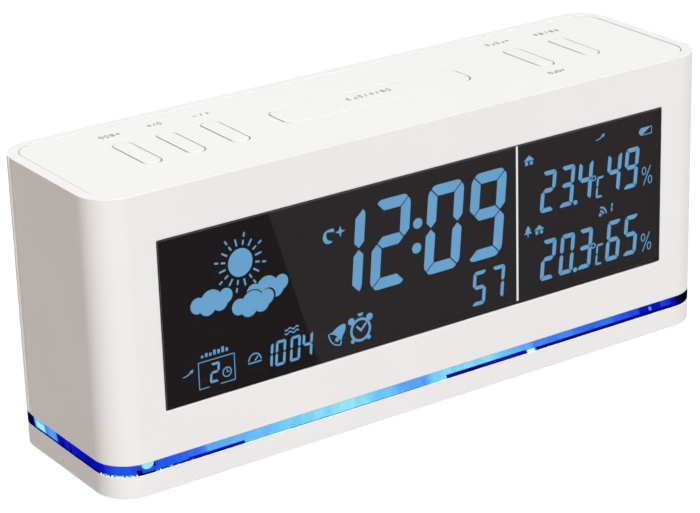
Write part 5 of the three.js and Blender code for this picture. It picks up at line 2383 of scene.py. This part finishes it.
def band_finish() -> GlowingBand:
    """Gives the clear band's finish, with its light and dark stretches where the photograph has them.

    Returns:
        The finish, in the place of the band in the frame.
    """
    guide = Box.of("light_guide")
    levels = (
        (-136.4, 0.03), (-136.2, 0.8), (-129.6, 0.8), (-129.3, 0.6), (-124.0, 0.64),
        (-123.9, 0.22), (-117.0, 0.3), (-108.0, 0.19), (-102.0, 0.24), (-96.0, 0.4),
        (-82.0, 0.44), (-68.6, 0.5), (-68.3, 0.62), (-52.0, 0.72), (-26.0, 0.98), (-14.0, 0.8),
        (-6.0, 0.64), (-0.6, 0.66), (1.5, 0.84), (14.0, 0.9), (24.0, 0.76), (36.0, 0.58),
        (72.0, 0.4), (72.3, 0.26), (79.5, 0.24), (79.8, 0.37), (83.0, 0.34), (86.5, 0.08), (88.0, 0.0),
        (101.0, 0.0), (107.0, 0.3), (147.0, 0.4),
    )
    facets = (
        Facet(-134.6, -130.6, 1.0, 0.25, 0.8), Facet(-129.8, -129.3, 0.42), Facet(-121.2, -120.5, 0.05),
        Facet(-117.1, -116.4, 0.05), Facet(-138.0, -98.0, 0.08, high=0.22),
        Facet(-88.8, -87.2, 0.05, high=0.55), Facet(-87.6, -83.6, 0.1, high=0.2),
        Facet(-83.6, -82.9, 0.1, low=0.6), Facet(-82.3, -74.0, 0.24, high=0.22),
        Facet(-74.0, -57.6, 0.21, high=0.34), Facet(-44.0, -3.0, 0.42, high=0.08),
        Facet(5.5, 32.3, 0.2, high=0.42), Facet(9.0, 18.0, 0.1, high=0.28),
        Facet(32.5, 35.0, 1.2, high=0.34), Facet(35.5, 84.0, 0.14, high=0.36),
        Facet(75.7, 76.6, 0.62, 0.42, 0.8),
    )
    return GlowingBand(guide.low.z, guide.high.z, guide.low.y, levels, facets, -85.4)


def display_finish() -> DisplayWithPaintedReflection:
    """Gives the dark display's finish, with the slanted line of its painted reflection from edge to edge.

    Returns:
        The finish, in the place of the lens in the frame.
    """
    lens = Box.of("display_lens")
    top, bottom, shift = 31.2, 44.7, 1.05
    middle_x = lens.low.x + (top + bottom) / 2 + shift
    lean = math.degrees(math.atan2(bottom - top, lens.size.z))
    return DisplayWithPaintedReflection((middle_x, lens.centre.z), lean)


def finishes() -> list[object]:
    """Lists the finishes of the station.

    Returns:
        Each finish once, with its own name.
    """
    return [
        Moulded("white_shell", (231, 229, 228), (229, 227, 226), 0.44, 0.03, specular=0.25),
        Moulded("white_panel", (230, 229, 226), (228, 227, 224), 0.46, 0.04, specular=0.22),
        Moulded("white_keys", (230, 229, 226), (228, 227, 224), 0.46, 0.04, grain=0.35, specular=0.22),
        # Grey of the lens's edge ring: painted shade of the gap round the window.
        Moulded("painted_gap_shade", (96, 92, 90), (104, 100, 98), 0.6, specular=0.2),
        Moulded("grey_print", (92, 92, 92), (104, 104, 104), 0.7, specular=0.1),
        Moulded("black_plastic", (24, 24, 25), (30, 30, 31), 0.42, grain=0.3, relief=0.006),
        Moulded("rubber", (34, 34, 35), (42, 42, 43), 0.8, grain=0.25, relief=0.015),
        Moulded("white_film", (232, 235, 238), (224, 228, 232), 0.5, relief=0.004),
        Moulded("dark_glass", (22, 20, 24), (27, 25, 29), 0.12, 0.02),
        Moulded("ribbon", (196, 132, 52), (184, 120, 44), 0.35, relief=0.004),
        Moulded("steel", (196, 197, 200), (178, 180, 184), 0.28, 0.1, 1.0, 0.25, 6.0, 0.003),
        Moulded("cell_wrap", (64, 70, 78), (56, 62, 70), 0.3, 0.08, grain=0.6, relief=0.004),
        Moulded("ferrite", (62, 56, 52), (74, 66, 60), 0.7, grain=0.3, relief=0.02),
        ClearLens(),
        CircuitBoard(),
        Lit("lit_blue", (103, 160, 202), (99, 156, 198)),
        Lit("lit_white", (236, 236, 238), (228, 228, 230)),
        band_finish(),
        display_finish(),
    ]


def main() -> None:
    """Loads the frame and builds the station round it."""
    logging.basicConfig(level=logging.INFO, format="%(message)s")
    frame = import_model()
    palette, repeater = Palette(finishes()), Repeater()
    Studio().build()
    for kind in (Shell, TopPanel, Base, Screws, Power, Display, PanelSigns):
        log.info("building %s", kind.__name__)
        kind(palette, repeater).build()
    dress_inner_nodes(frame["nodes"], palette)


if __name__ == "__main__":
    main()
